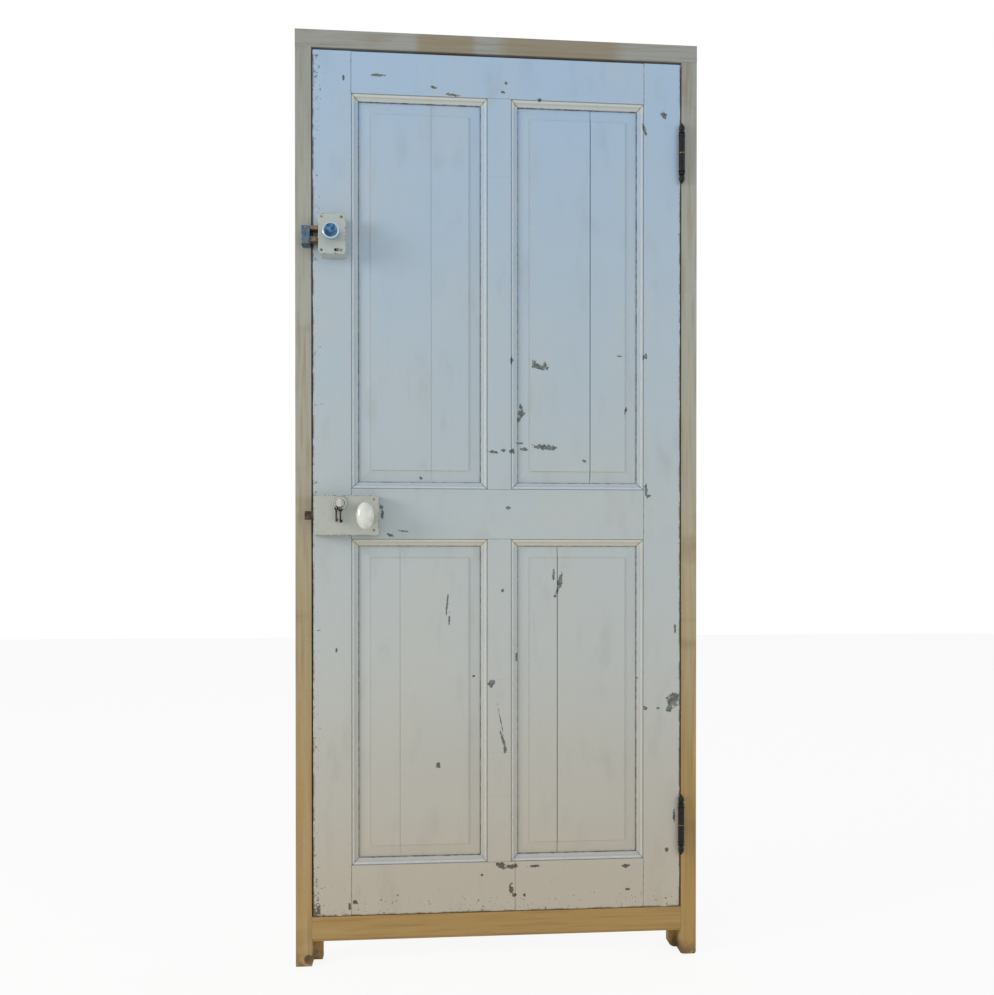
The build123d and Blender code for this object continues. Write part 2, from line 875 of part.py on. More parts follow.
# Hinges
def barrel_profile(side):
    """Half a turned hinge barrel on its axis: cylinder, two rings and an acorn finial."""
    ring_1 = barrel_half
    ring_2 = ring_1 + ring_band + neck_band
    neck = ring_2 + ring_band
    start = washer_t / 2 + (washer_play if side > 0 else 0)
    hole = pin_r + pin_play
    depth = pin_reach + pin_room
    foot = neck + finial_foot_h
    waist = foot + finial_h * finial_waist
    with BuildSketch(Plane.XZ) as turned:
        with BuildLine():
            Polyline(
                (hole, side * start),
                (barrel_r, side * start),
                (barrel_r, side * ring_1),
                (ring_r, side * (ring_1 + ring_bevel)),
                (ring_r, side * (ring_1 + ring_band - ring_bevel)),
                (neck_r, side * (ring_1 + ring_band)),
                (neck_r, side * ring_2),
                (ring_r - ring_bevel, side * (ring_2 + ring_bevel)),
                (ring_r - ring_bevel, side * (neck - ring_bevel)),
                (neck_r - finial_foot_in, side * neck),
                (neck_r - finial_foot_in, side * foot),
            )
            ThreePointArc(
                (neck_r - finial_foot_in, side * foot),
                (finial_r, side * (foot + finial_h * finial_belly)),
                (neck_r - finial_waist_in, side * waist),
            )
            Polyline(
                (neck_r - finial_waist_in, side * waist),
                (finial_tip_r, side * (neck + finial_h)),
                (0, side * (neck + finial_h)),
                (0, side * depth),
                (hole, side * depth),
                (hole, side * start),
            )
        make_face()
    return turned.sketch


def hinge_half(side):
    """One half of a hinge about the origin; side 1 is the leaf's upper half, -1 the jamb's."""
    face_x = X_HINGE if side > 0 else FRAME_IN
    outer = face_x - X_AXIS - side * plate_bite
    inner = outer + side * plate_t
    y0 = Y_FRONT - Y_AXIS
    with BuildPart() as half:
        revolve(barrel_profile(side), axis=Axis.Z)
        root = (barrel_r + pin_r) / 2
        block(
            outer,
            inner,
            root - plate_root,
            y0 + plate_depth,
            side * plate_start,
            side * (plate_start + plate_h),
        )
        # above the barrel's cylinder the plate stops short of the rings
        block(
            outer - 1.0 if outer < inner else outer + 1.0,
            inner + 1.0 if outer < inner else inner - 1.0,
            root - 2 * plate_root,
            y0,
            side * barrel_half,
            side * (plate_start + plate_h + 1.0),
            mode=Mode.SUBTRACT,
        )
        for z in (plate_start + plate_screw_edge, plate_start + plate_h - plate_screw_edge):
            shank_y = y0 + plate_screw_in
            bore_x(shank_y, side * z, screw_shank_r + screw_play, outer - plate_t - 1, outer + plate_t + 1)
            with Locations(Location(((outer + inner) / 2, shank_y, side * z), (0, side * 90, 0))):
                with Locations((0, 0, (plate_t - screw_head_h) / 2)):
                    Cone(
                        screw_shank_r + screw_play,
                        screw_head_r + screw_play,
                        screw_head_h,
                        mode=Mode.SUBTRACT,
                    )
    return half


for hinge_name, mid in (("hinge_lower", HINGE_MIDS[0]), ("hinge_upper", HINGE_MIDS[1])):
    for side, half_name in ((1, "leaf_half"), (-1, "frame_half")):
        half_at_origin = hinge_half(side)
        with BuildPart() as hinge_piece:
            add(half_at_origin.part.moved(Location((X_AXIS, Y_AXIS, mid))))
        keep(hinge_piece, f"{hinge_name}_{half_name}")

for side, screws_name in ((1, "hinge_leaf_screws"), (-1, "hinge_frame_screws")):
    wood_face = X_HINGE if side > 0 else FRAME_IN
    plate_face = wood_face + side * (plate_t - plate_bite)
    with BuildPart() as plate_screws:
        for mid in HINGE_MIDS:
            for z in hinge_screw_heights(mid, side):
                screw(Location((plate_face, Y_FRONT + plate_screw_in, z), (0, side * 90, 0)), screw_len)
    keep(plate_screws, screws_name)

with BuildPart() as hinge_pins:
    for mid in HINGE_MIDS:
        with Locations((X_AXIS, Y_AXIS, mid)):
            Cylinder(pin_r, 2 * pin_reach)
    chamfer(hinge_pins.faces().filter_by(Axis.Z).edges(), pin_chamfer)
keep(hinge_pins, "hinge_pins")

with BuildPart() as hinge_washers:
    for mid in HINGE_MIDS:
        with Locations((X_AXIS, Y_AXIS, mid)):
            Cylinder(barrel_r + washer_over, washer_t)
            Cylinder(pin_r + pin_play, 2 * washer_t, mode=Mode.SUBTRACT)
keep(hinge_washers, "hinge_washers")


# Rim lock
CASE_X0 = X_LOCK + case_x
CASE_X1 = CASE_X0 + case_w
CASE_Z0 = Z_LEAF + case_low
CASE_Z1 = CASE_Z0 + case_h
Y_PLATE = Y_FRONT - back_plate_t
BOLT_Y0 = Y_FRONT - bolt_front
BOLT_Y1 = BOLT_Y0 + latch_t
TAIL_Y1 = Y_PLATE - bolt_play
TAIL_Y0 = TAIL_Y1 - tail_t
ARM_Y1 = TAIL_Y0 - arm_gap
ARM_Y0 = ARM_Y1 - crank_t
KNOB_AT = at_leaf(knob_x, knob_z)
TURN_AT = at_leaf(turn_x, turn_z)
NIGHT_AT = at_leaf(night_knob_x, night_knob_z)


def countersink(x, z, y_face):
    """A countersunk seat in a face that looks to the front."""
    with Locations(Location((x, y_face + screw_head_h / 2, z), FACING_FRONT)):
        Cone(screw_shank_r + screw_play, screw_head_r + screw_play, screw_head_h, mode=Mode.SUBTRACT)


def lock_box(x0, x1, z0, z1, y_front, wall, corner, edge, posts, all_corners=False):
    """A cast case open at the back, with rounded corners and a post for every screw."""
    block(x0, x1, y_front, Y_PLATE, z0, z1)
    corners = edges().filter_by(Axis.Y)
    if not all_corners:
        corners = corners.group_by(Axis.X)[-1]
    fillet(corners, corner)
    fillet(faces().sort_by(Axis.Y)[0].edges(), edge)
    block(x0 + wall, x1 - wall, y_front + wall, Y_PLATE + 1, z0 + wall, z1 - wall, mode=Mode.SUBTRACT)
    for x, z in posts:
        bore_y(x, z, screw_head_r + post_wall, y_front + wall / 2, Y_PLATE, mode=Mode.ADD)
        bore_y(x, z, screw_shank_r + screw_play, y_front - 1, Y_PLATE + 1)
        countersink(x, z, y_front)


with BuildPart() as lock_case:
    lock_box(
        CASE_X0, CASE_X1, CASE_Z0, CASE_Z1, CASE_FRONT, case_wall, case_round, case_edge, case_screw_spots()
    )
    for low, high in ((latch_low, latch_h), (bolt_low, bolt_h)):
        block(
            CASE_X0 - 1,
            CASE_X0 + case_wall + 1,
            BOLT_Y0 - bolt_play,
            BOLT_Y1 + bolt_play,
            Z_LEAF + low - bolt_play,
            Z_LEAF + low + high + bolt_play,
            mode=Mode.SUBTRACT,
        )
    bore_y(*KNOB_AT, hub_r + shaft_play, CASE_FRONT - 1, CASE_FRONT + case_wall + 1)
    bore_y(*TURN_AT, turn_stem_r + shaft_play, CASE_FRONT - 1, CASE_FRONT + case_wall + 1)
keep(lock_case, "lock_case")

with BuildPart() as lock_back_plate:
    block(CASE_X0, CASE_X1, Y_PLATE, Y_FRONT, CASE_Z0, CASE_Z1)
    fillet(lock_back_plate.edges().filter_by(Axis.Y).group_by(Axis.X)[-1], case_round)
    bore_y(*KNOB_AT, hub_r + arm_gap, Y_PLATE - 1, Y_FRONT + 1)
    for x, z in (*case_screw_spots(), *case_plate_spots()):
        bore_y(x, z, screw_shank_r + screw_play, Y_PLATE - 1, Y_FRONT + 1)
keep(lock_back_plate, "lock_back_plate")

with BuildPart() as lock_case_screws:
    for x, z in case_screw_spots():
        screw(Location((x, CASE_FRONT, z), FACING_FRONT), case_d + screw_len - screw_end_room)
keep(lock_case_screws, "lock_case_screws")

with BuildPart() as lock_plate_screws:
    for x, z in case_plate_spots():
        screw(Location((x, Y_PLATE - screw_head_h, z), FACING_FRONT), screw_len)
keep(lock_plate_screws, "lock_plate_screws")


def slider(tip, head_len, z0, height, pin_x, axis_z, radius, clear_r, tail_h, bevel, play=slot_play):
    """A bolt: the head that shoots, and behind it a flat tail notched for the pin of its crank."""
    notch = crank_pin_r + play
    tail_z0 = axis_z + clear_r + tail_lift
    block(tip, tip + head_len, BOLT_Y0, BOLT_Y1, z0, z0 + height)
    if bevel:
        with BuildSketch(Plane.XY.offset(z0 - 1)) as ramp:
            with BuildLine():
                Polyline(
                    (tip - 1, BOLT_Y1 + 1),
                    (tip + bevel, BOLT_Y1 + 1),
                    (tip + bevel, BOLT_Y1),
                    (tip, BOLT_Y0 + latch_t / 4),
                    (tip - 1, BOLT_Y0 + latch_t / 4),
                    close=True,
                )
            make_face()
        extrude(ramp.sketch, amount=height + 2, mode=Mode.SUBTRACT)
    block(tip + head_len - neck_len, tip + head_len, BOLT_Y1 - neck_bite, TAIL_Y1, z0, z0 + height)
    tail_x = tip + head_len - tail_overlap
    block(tail_x, tip + head_len, TAIL_Y0, TAIL_Y1, z0, tail_z0 + tail_h)
    block(tail_x, pin_x + notch + tail_end, TAIL_Y0, TAIL_Y1, tail_z0, tail_z0 + tail_h)
    block(
        pin_x - notch,
        pin_x + notch,
        TAIL_Y0 - 1,
        TAIL_Y1 + 1,
        tail_z0 - 1,
        axis_z + radius + notch,
        mode=Mode.SUBTRACT,
    )


def crank(at, radius, start_deg, hub, y0, y1):
    """A hub lying along Y with one arm and a pin; start_deg leans the arm from upright."""
    x, z = at
    tip = Vector(0, 0, radius).rotate(Axis.Y, start_deg)
    bore_y(x, z, hub, y0, y1, mode=Mode.ADD)
    with BuildSketch(Plane(origin=(x, ARM_Y1, z), x_dir=(1, 0, 0), z_dir=(0, -1, 0))) as arm:
        with Locations((tip.X / 2, tip.Z / 2)):
            SlotCenterToCenter(radius, 2 * (crank_pin_r + arm_rim), rotation=90.0 - start_deg)
    extrude(arm.sketch, amount=crank_t)
    bore_y(x + tip.X, z + tip.Z, crank_pin_r, ARM_Y0, TAIL_Y1 - arm_gap / 2, mode=Mode.ADD)


with BuildPart() as lock_latch_bolt:
    slider(
        CASE_X0 - latch_out,
        latch_out + latch_body,
        Z_LEAF + latch_low,
        latch_h,
        KNOB_AT[0] - crank_r / 2,
        KNOB_AT[1],
        crank_r,
        hub_r,
        latch_tail_h,
        latch_bevel,
    )
keep(lock_latch_bolt, "lock_latch_bolt")

with BuildPart() as lock_follower:
    crank(KNOB_AT, crank_r, -crank_swing / 2, hub_r, CASE_FRONT - run_gap / 2, Y_FRONT - run_gap / 2)
    bore = spindle_side + 2 * spindle_play
    with Locations((KNOB_AT[0], CASE_FRONT, KNOB_AT[1])):
        Box(bore, 4 * case_d, bore, mode=Mode.SUBTRACT)
keep(lock_follower, "lock_follower")

turn_pin = turn_crank_r * 2 ** -0.5
with BuildPart() as lock_dead_bolt:
    tail_base = TURN_AT[1] + turn_hub_r + tail_lift
    slider(
        CASE_X0,
        bolt_body,
        Z_LEAF + bolt_low,
        bolt_h,
        TURN_AT[0] + turn_pin,
        TURN_AT[1],
        turn_crank_r,
        turn_hub_r,
        CASE_Z1 - case_wall - arm_gap - tail_base,
        0,
    )
keep(lock_dead_bolt, "lock_dead_bolt")

with BuildPart() as lock_turn_crank:
    crank(TURN_AT, turn_crank_r, turn_swing / 2, turn_hub_r, CASE_FRONT + case_wall + run_gap, TAIL_Y1)
    stem_y0 = CASE_FRONT - turn_rose_t - turn_collar_len - turn_stem_in
    bore_y(*TURN_AT, turn_stem_r, stem_y0, ARM_Y0, mode=Mode.ADD)
keep(lock_turn_crank, "lock_turn_crank")

with BuildPart() as lock_turn_rose:
    bore_y(*TURN_AT, turn_rose_r, CASE_FRONT - turn_rose_t, CASE_FRONT, mode=Mode.ADD)
    fillet(lock_turn_rose.edges().group_by(Axis.Y)[0], turn_rose_t / 2)
    bore_y(*TURN_AT, turn_collar_r, CASE_FRONT - turn_rose_t - turn_collar_len, CASE_FRONT, mode=Mode.ADD)
    bore_y(*TURN_AT, turn_stem_r + shaft_play, CASE_FRONT - 4 * turn_collar_len, CASE_FRONT + 1)
keep(lock_turn_rose, "lock_turn_rose")

# The thumb-turn's head: a disc behind, a flat grip across it in front
TURN_Y1 = CASE_FRONT - turn_rose_t - turn_collar_len - run_gap
with BuildPart() as lock_turn_knob:
    bore_y(*TURN_AT, turn_head_r, TURN_Y1 - turn_head_t, TURN_Y1, mode=Mode.ADD)
    for way in (-1, 1):
        block(
            TURN_AT[0] + way * turn_grip_t,
            TURN_AT[0] + way * 2 * turn_head_r,
            TURN_Y1 - 2 * turn_head_t,
            TURN_Y1 - turn_head_t / 2,
            TURN_AT[1] - 2 * turn_head_r,
            TURN_AT[1] + 2 * turn_head_r,
            mode=Mode.SUBTRACT,
        )
    fillet(lock_turn_knob.faces().sort_by(Axis.Y)[0].edges().filter_by(Axis.Z), turn_grip_round)
    bore_y(*TURN_AT, turn_stem_r + spindle_play, TURN_Y1 - turn_head_t / 2, TURN_Y1 + 1)
keep(lock_turn_knob, "lock_turn_knob")

# Oval knobs on one square spindle
NECK_Y = CASE_FRONT - run_gap
OUT_Y = Y_BACK + outer_rose_t + run_gap


def oval_knob(y_seat, way, neck_len):
    """An egg-shaped knob with a turned neck; way is -1 when it stands to the front."""
    x, z = KNOB_AT
    y_egg = y_seat + way * neck_len
    with BuildPart() as ovoid:
        Sphere(knob_half_h)
        scale(by=(knob_half_w / knob_half_h, knob_t / 2 / knob_half_h, 1))
    with BuildPart() as egg:
        add(ovoid.part.moved(Location((x, y_egg + way * knob_t / 2, z))))
        bore_y(x, z, knob_neck_r, y_seat, y_egg + way * knob_bury / 4, mode=Mode.ADD)
        bore_y(x, z, knob_flange_r, y_seat, y_seat + way * knob_flange_t, mode=Mode.ADD)
        bore = spindle_side + 2 * spindle_play
        with Locations((x, y_seat + way * (neck_len + knob_bury) / 2, z)):
            Box(bore, neck_len + knob_bury + 2 * spindle_play, bore, mode=Mode.SUBTRACT)
    return egg


lock_knob_inner = oval_knob(NECK_Y, -1, knob_neck_len)
keep(lock_knob_inner, "lock_knob_inner")
lock_knob_outer = oval_knob(OUT_Y, 1, outer_neck_len)
keep(lock_knob_outer, "lock_knob_outer")

with BuildPart() as lock_spindle:
    spindle_y0 = NECK_Y - knob_neck_len - knob_bury
    spindle_y1 = OUT_Y + outer_neck_len + knob_bury
    half = spindle_side / 2
    block(KNOB_AT[0] - half, KNOB_AT[0] + half, spindle_y0, spindle_y1, KNOB_AT[1] - half, KNOB_AT[1] + half)
keep(lock_spindle, "lock_spindle")

with BuildPart() as lock_outer_rose:
    bore_y(*KNOB_AT, outer_rose_r, Y_BACK, Y_BACK + outer_rose_t, mode=Mode.ADD)
    fillet(lock_outer_rose.edges().group_by(Axis.Y)[-1], outer_rose_t / 2)
    bore_y(*KNOB_AT, spindle_hole_r, Y_BACK - 1, Y_BACK + 2 * outer_rose_t)
keep(lock_outer_rose, "lock_outer_rose")


def key_cylinder(at):
    """A rim cylinder with its keyway on the outer side of the door."""
    x, z = at
    y_key = Y_BACK + cylinder_ring_t + cylinder_proud
    bore_y(x, z, cylinder_r, Y_FRONT + cylinder_in, y_key, mode=Mode.ADD)
    block(
        x - keyway_w / 2,
        x + keyway_w / 2,
        y_key - keyway_d,
        y_key + 1,
        z - keyway_h / 2,
        z + keyway_h / 2,
        mode=Mode.SUBTRACT,
    )


def cylinder_ring(at):
    """The bevelled ring round a rim cylinder."""
    with BuildPart() as ring:
        bore_y(*at, cylinder_ring_r, Y_BACK, Y_BACK + cylinder_ring_t, mode=Mode.ADD)
        chamfer(ring.edges().group_by(Axis.Y)[-1], cylinder_ring_t / 2)
        bore_y(*at, cylinder_r + screw_play, Y_BACK - 1, Y_BACK + 2 * cylinder_ring_t)
    return ring


for cylinder_name, at in (("lock", TURN_AT), ("night", NIGHT_AT)):
    with BuildPart() as cylinder:
        key_cylinder(at)
    keep(cylinder, f"{cylinder_name}_cylinder")
    ring = cylinder_ring(at)
    keep(ring, f"{cylinder_name}_cylinder_ring")

# The key ring hangs on the collar, and two keys hang in the ring
RING_Y = CASE_FRONT - turn_rose_t - turn_collar_len / 2
ring_drop = keyring_r - keyring_wire - keyring_seat - turn_collar_r
ring_shift = Vector(0, 0, -ring_drop).rotate(Axis.Y, ring_lean)
RING_X = TURN_AT[0] + ring_shift.X
RING_Z = TURN_AT[1] + ring_shift.Z
with BuildPart() as key_ring:
    with Locations(Location((RING_X, RING_Y, RING_Z), FACING_FRONT)):
        Torus(keyring_r, keyring_wire)
keep(key_ring, "key_ring")


def hanging_key(way):
    """A small lever key hanging by its eye from the bottom of the ring, turned edge-on."""
    with BuildPart() as key:
        with BuildSketch(Plane.YZ) as blade:
            with Locations((0, -key_bow_r + key_eye_r + keyring_wire)):
                Circle(key_bow_r)
            Circle(key_eye_r, mode=Mode.SUBTRACT)
        extrude(amount=key_bow_t / 2, both=True)
        low = -2 * key_bow_r + key_eye_r + keyring_wire
        with Locations((0, 0, low + key_root - key_len / 2)):
            Cylinder(key_shank_r, key_len)
        with Locations((0, way * key_bit_h / 2, low + key_root - key_len + key_bit_w / 2 + key_tip)):
            Box(key_bow_t, key_bit_h, key_bit_w)
    return key


for key_name, way, hang in (("key_left", -1, key_left_hang), ("key_right", 1, key_right_hang)):
    spot = Vector(0, 0, -keyring_r).rotate(Axis.Y, -hang)
    eye = (RING_X + spot.X, RING_Y, RING_Z + spot.Z - key_eye_drop)
    with BuildPart() as key:
        add(hanging_key(way).part.moved(Location(eye, (0, 0, -way * key_turn))))
    keep(key, key_name)

# Night latch
NIGHT_X0 = X_LOCK + night_x
NIGHT_X1 = NIGHT_X0 + night_w
NIGHT_Z0 = Z_LEAF + night_low
NIGHT_Z1 = NIGHT_Z0 + night_h
NIGHT_BOLT_Z = Z_LEAF + night_bolt_low
SNIB_AT = at_leaf(snib_x, snib_z)
with BuildPart() as night_case:
    lock_box(
        NIGHT_X0,
        NIGHT_X1,
        NIGHT_Z0,
        NIGHT_Z1,
        NIGHT_FRONT,
        night_wall,
        night_round,
        night_edge,
        night_screw_spots(),
        True,
    )
    block(
        NIGHT_X0 - 1,
        NIGHT_X0 + night_wall + 1,
        Y_FRONT - ear_front - bolt_play,
        Y_PLATE + 1,
        NIGHT_BOLT_Z - ear_gap - ear_low - bolt_play,
        NIGHT_BOLT_Z + night_bolt_h + ear_gap + ear_high + bolt_play,
        mode=Mode.SUBTRACT,
    )
    bore_y(*NIGHT_AT, night_collar_r, NIGHT_FRONT - night_collar_t, NIGHT_FRONT + 1, mode=Mode.ADD)
    collar_y0 = NIGHT_FRONT - 2 * night_collar_t
    bore_y(*NIGHT_AT, night_stem_r + shaft_play, collar_y0, NIGHT_FRONT + night_wall + 1)
    block(
        SNIB_AT[0] - snib_w / 2 - snib_travel - snib_play,
        SNIB_AT[0] + snib_w / 2 + snib_play,
        NIGHT_FRONT - 1,
        NIGHT_FRONT + night_wall + 1,
        SNIB_AT[1] - snib_h / 2 - snib_play,
        SNIB_AT[1] + snib_h / 2 + snib_play,
        mode=Mode.SUBTRACT,
    )
keep(night_case, "night_case")

with BuildPart() as night_back_plate:
    block(NIGHT_X0, NIGHT_X1, Y_PLATE, Y_FRONT, NIGHT_Z0, NIGHT_Z1)
    fillet(night_back_plate.edges().filter_by(Axis.Y), night_round)
    for x, z in night_screw_spots():
        bore_y(x, z, screw_shank_r + screw_play, Y_PLATE - 1, Y_FRONT + 1)
keep(night_back_plate, "night_back_plate")

# The bolt guide stands out of the case toward the jamb as two ears
with BuildPart() as night_guide:
    ear_y0, ear_y1 = Y_FRONT - ear_front, Y_FRONT - ear_back
    guide_x0 = NIGHT_X0 + night_wall + ear_gap
    z_low = NIGHT_BOLT_Z - ear_gap
    z_high = NIGHT_BOLT_Z + night_bolt_h + ear_gap
    block(NIGHT_X0 - ear_reach, guide_x0 + guide_t, ear_y0, ear_y1, z_low - ear_low, z_low)
    block(NIGHT_X0 - ear_reach, guide_x0 + guide_t, ear_y0, ear_y1, z_high, z_high + ear_high)
    block(guide_x0, guide_x0 + guide_t, ear_y0, BOLT_Y0 - guide_clear - ear_gap, z_low - 1, z_high + 1)
keep(night_guide, "night_guide")

with BuildPart() as night_bolt:
    slider(
        NIGHT_X0 - night_bolt_proud,
        night_bolt_body,
        NIGHT_BOLT_Z,
        night_bolt_h,
        NIGHT_AT[0] + night_pin_side,
        NIGHT_AT[1],
        night_crank_r,
        night_stem_r,
        night_tail_h,
        0,
        night_slot_play,
    )
keep(night_bolt, "night_bolt")

with BuildPart() as night_crank:
    stem_y0 = NIGHT_FRONT - night_knob_gap - night_stem_in
    crank(NIGHT_AT, night_crank_r, night_swing / 2, night_stem_r, stem_y0, TAIL_Y1)
keep(night_crank, "night_crank")

with BuildPart() as night_knob:
    y_back = NIGHT_FRONT - night_knob_gap
    bore_y(*NIGHT_AT, night_knob_r, y_back - night_knob_t, y_back, mode=Mode.ADD)
    fillet(night_knob.edges().group_by(Axis.Y)[0], night_edge)
    chamfer(night_knob.edges().group_by(Axis.Y)[-1], night_edge)
    # a shallow dish in the face
    dish_r = (night_knob_r - night_rim) ** 2 / (2 * night_dish) + night_dish / 2
    with Locations((NIGHT_AT[0], y_back - night_knob_t + night_dish - dish_r, NIGHT_AT[1])):
        Sphere(dish_r, mode=Mode.SUBTRACT)
    bore_y(*NIGHT_AT, night_collar_r, y_back, NIGHT_FRONT - night_collar_t - run_gap, mode=Mode.ADD)
    bore_y(*NIGHT_AT, night_stem_r + screw_play, y_back - night_stem_in - screw_play, NIGHT_FRONT)
keep(night_knob, "night_knob")

with BuildPart() as night_snib:
    x, z = SNIB_AT
    y_in = NIGHT_FRONT + night_wall
    half_w = snib_w / 2
    half_h = snib_h / 2
    block(x - half_w, x + half_w, NIGHT_FRONT - snib_out, y_in + snib_play, z - half_h, z + half_h)
    block(
        x - half_w,
        x + half_w,
        y_in + snib_play,
        y_in + snib_play + guide_t,
        z - half_h - guide_t / 2,
        z + half_h + guide_t / 2,
    )
keep(night_snib, "night_snib")

with BuildPart() as night_screws:
    for x, z in night_screw_spots():
        screw(Location((x, NIGHT_FRONT, z), FACING_FRONT), night_d + screw_len - screw_end_room)
keep(night_screws, "night_screws")

# Keeper on the jamb: a C-shaped box, open to the bolt
KEEP_X0 = X_LOCK + keeper_x
KEEP_Z0 = Z_LEAF + keeper_low
KEEP_Z1 = KEEP_Z0 + keeper_h
with BuildPart() as night_keeper:
    block(KEEP_X0, KEEP_X0 + keeper_w, Y_FRONT - keeper_d, Y_FRONT, KEEP_Z0, KEEP_Z1)
    block(
        KEEP_X0 + keeper_side_t,
        KEEP_X0 + keeper_w + 1,
        Y_FRONT - keeper_d + keeper_front_t,
        Y_FRONT - keeper_base_t,
        KEEP_Z0 + keeper_lug_low,
        KEEP_Z1 - keeper_lug_high,
        mode=Mode.SUBTRACT,
    )
    fillet(night_keeper.edges().filter_by(Axis.Z).group_by(Axis.Y)[0].sort_by(Axis.X)[0], keeper_round)
    for x, z in keeper_screw_spots():
        bore_y(x, z, screw_shank_r + screw_play, Y_FRONT - keeper_d - 1, Y_FRONT + 1)
        countersink(x, z, Y_FRONT - keeper_d)
keep(night_keeper, "night_keeper")

with BuildPart() as night_keeper_screws:
    for x, z in keeper_screw_spots():
        screw(Location((x, Y_FRONT - keeper_d, z), FACING_FRONT), keeper_d + small_screw_len)
keep(night_keeper_screws, "night_keeper_screws")
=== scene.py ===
import bpy
import math
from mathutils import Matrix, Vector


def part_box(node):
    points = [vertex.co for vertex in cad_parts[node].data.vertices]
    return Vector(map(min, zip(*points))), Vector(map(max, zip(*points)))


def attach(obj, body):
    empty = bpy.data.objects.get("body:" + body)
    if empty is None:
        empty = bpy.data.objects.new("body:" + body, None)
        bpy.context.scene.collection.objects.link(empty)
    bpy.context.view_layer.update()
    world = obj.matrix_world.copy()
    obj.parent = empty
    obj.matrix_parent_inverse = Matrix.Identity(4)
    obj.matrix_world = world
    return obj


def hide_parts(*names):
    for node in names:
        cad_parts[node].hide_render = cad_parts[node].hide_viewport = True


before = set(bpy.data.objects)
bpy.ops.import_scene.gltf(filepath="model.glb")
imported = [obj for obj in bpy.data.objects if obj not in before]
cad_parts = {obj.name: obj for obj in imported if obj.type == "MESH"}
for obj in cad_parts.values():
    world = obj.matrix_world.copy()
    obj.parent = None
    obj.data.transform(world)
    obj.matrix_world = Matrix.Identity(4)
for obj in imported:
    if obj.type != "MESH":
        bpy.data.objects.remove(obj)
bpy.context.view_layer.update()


# The leaf: softwood stiles, rails and muntins, mortised and tenoned round boarded
# panels, under many coats of pale oil paint, cool at the top and warm and dirty at
# the foot, the cool partly painted sky light and the warm partly painted ground bounce,
# chipped to the undercoat where things struck it, with dirt in the joints, painted shade
# in the quirks and along the panels' edges, and painted light on the mouldings.

class Sock:
    """A value in a material, so that shader maths reads as plain sums."""

    def __init__(self, tree, out):
        self.tree = tree
        self.out = out

    def of(self, kind, settings, sockets, result=0):
        """Any other node: its type, its settings, then its inputs by name or number."""
        node = self.tree.nodes.new(kind)
        for name, value in settings.items():
            setattr(node, name, value)
        for key, value in sockets.items():
            if isinstance(value, Sock):
                self.tree.links.new(value.out, node.inputs[key])
            else:
                node.inputs[key].default_value = value
        return Sock(self.tree, node.outputs[result])

    def maths(self, kind, *values):
        return self.of("ShaderNodeMath", {"operation": kind}, dict(enumerate(values)))

    def __add__(self, other):
        return self.maths("ADD", self, other)

    def __radd__(self, other):
        return self.maths("ADD", other, self)

    def __sub__(self, other):
        return self.maths("SUBTRACT", self, other)

    def __rsub__(self, other):
        return self.maths("SUBTRACT", other, self)

    def __mul__(self, other):
        return self.maths("MULTIPLY", self, other)

    def __rmul__(self, other):
        return self.maths("MULTIPLY", other, self)

    def __truediv__(self, other):
        return self.maths("DIVIDE", self, other)

    def __pow__(self, other):
        return self.maths("POWER", self, other)

    def __lt__(self, other):
        return self.maths("LESS_THAN", self, other)

    def __gt__(self, other):
        return self.maths("GREATER_THAN", self, other)

    def __abs__(self):
        return self.maths("ABSOLUTE", self)

    def __neg__(self):
        return self.maths("MULTIPLY", self, -1.0)

    def most(self, other):
        return self.maths("MAXIMUM", self, other)

    def least(self, other):
        return self.maths("MINIMUM", self, other)


def paint_tone(red, green, blue):
    """A colour as the eye reads it off a swatch, turned into light."""
    swatch = [v / 255 for v in (red, green, blue)]
    return (*(v / 12.92 if v < 0.04 else ((v + 0.055) / 1.055) ** 2.4 for v in swatch), 1.0)


def new_finish(name, metallic=0.0, coat=0.0):
    """A fresh finish: its material, its shader, and the place on the piece, also as X, Y, Z."""
    mat = bpy.data.materials.new(name)
    mat.use_nodes = True
    tree = mat.node_tree
    shader = tree.nodes["Principled BSDF"]
    shader.inputs["Metallic"].default_value = metallic
    shader.inputs["Coat Weight"].default_value = coat
    place = Sock(tree, tree.nodes.new("ShaderNodeTexCoord").outputs["Object"])
    split = tree.nodes.new("ShaderNodeSeparateXYZ")
    tree.links.new(place.out, split.inputs[0])
    x, y, z = (Sock(tree, split.outputs[i]) for i in range(3))
    return mat, shader, place, x, y, z


def mottle(place, scale, detail=3.0, stretch=(1, 1, 1), rough=0.55):
    """Soft irregular variation, drawn out along each axis with a small stretch."""
    drawn = place.of("ShaderNodeVectorMath", {"operation": "MULTIPLY"}, {0: place, 1: stretch})
    return place.of(
        "ShaderNodeTexNoise", {},
        {"Vector": drawn, "Scale": scale, "Detail": detail, "Roughness": rough},
    )


def ramp(value, low, high, soft=True):
    """0 below low, 1 above high, and a soft or straight rise between."""
    kind = "SMOOTHSTEP" if soft else "LINEAR"
    return value.of(
        "ShaderNodeMapRange", {"interpolation_type": kind},
        {0: value, 1: low, 2: high, 3: 0.0, 4: 1.0},
    )


def line(across, core, fade):
    """1 along the line where across is nought, gone at the distance fade."""
    return 1.0 - ramp(abs(across), core, fade)


def blend(share, first, second):
    """From the first colour to the second by the share."""
    return share.of("ShaderNodeMix", {"data_type": "RGBA"}, {0: share, 6: first, 7: second}, 2)


def lay_on(mat, shader, colour, roughness, height, depth, strength):
    """Lay colour, roughness and relief on the shader."""
    tree = mat.node_tree
    tree.links.new(colour.out, shader.inputs["Base Color"])
    tree.links.new(roughness.out, shader.inputs["Roughness"])
    relief = colour.of(
        "ShaderNodeBump", {}, {"Height": height, "Distance": depth, "Strength": strength}
    )
    tree.links.new(relief.out, shader.inputs["Normal"])


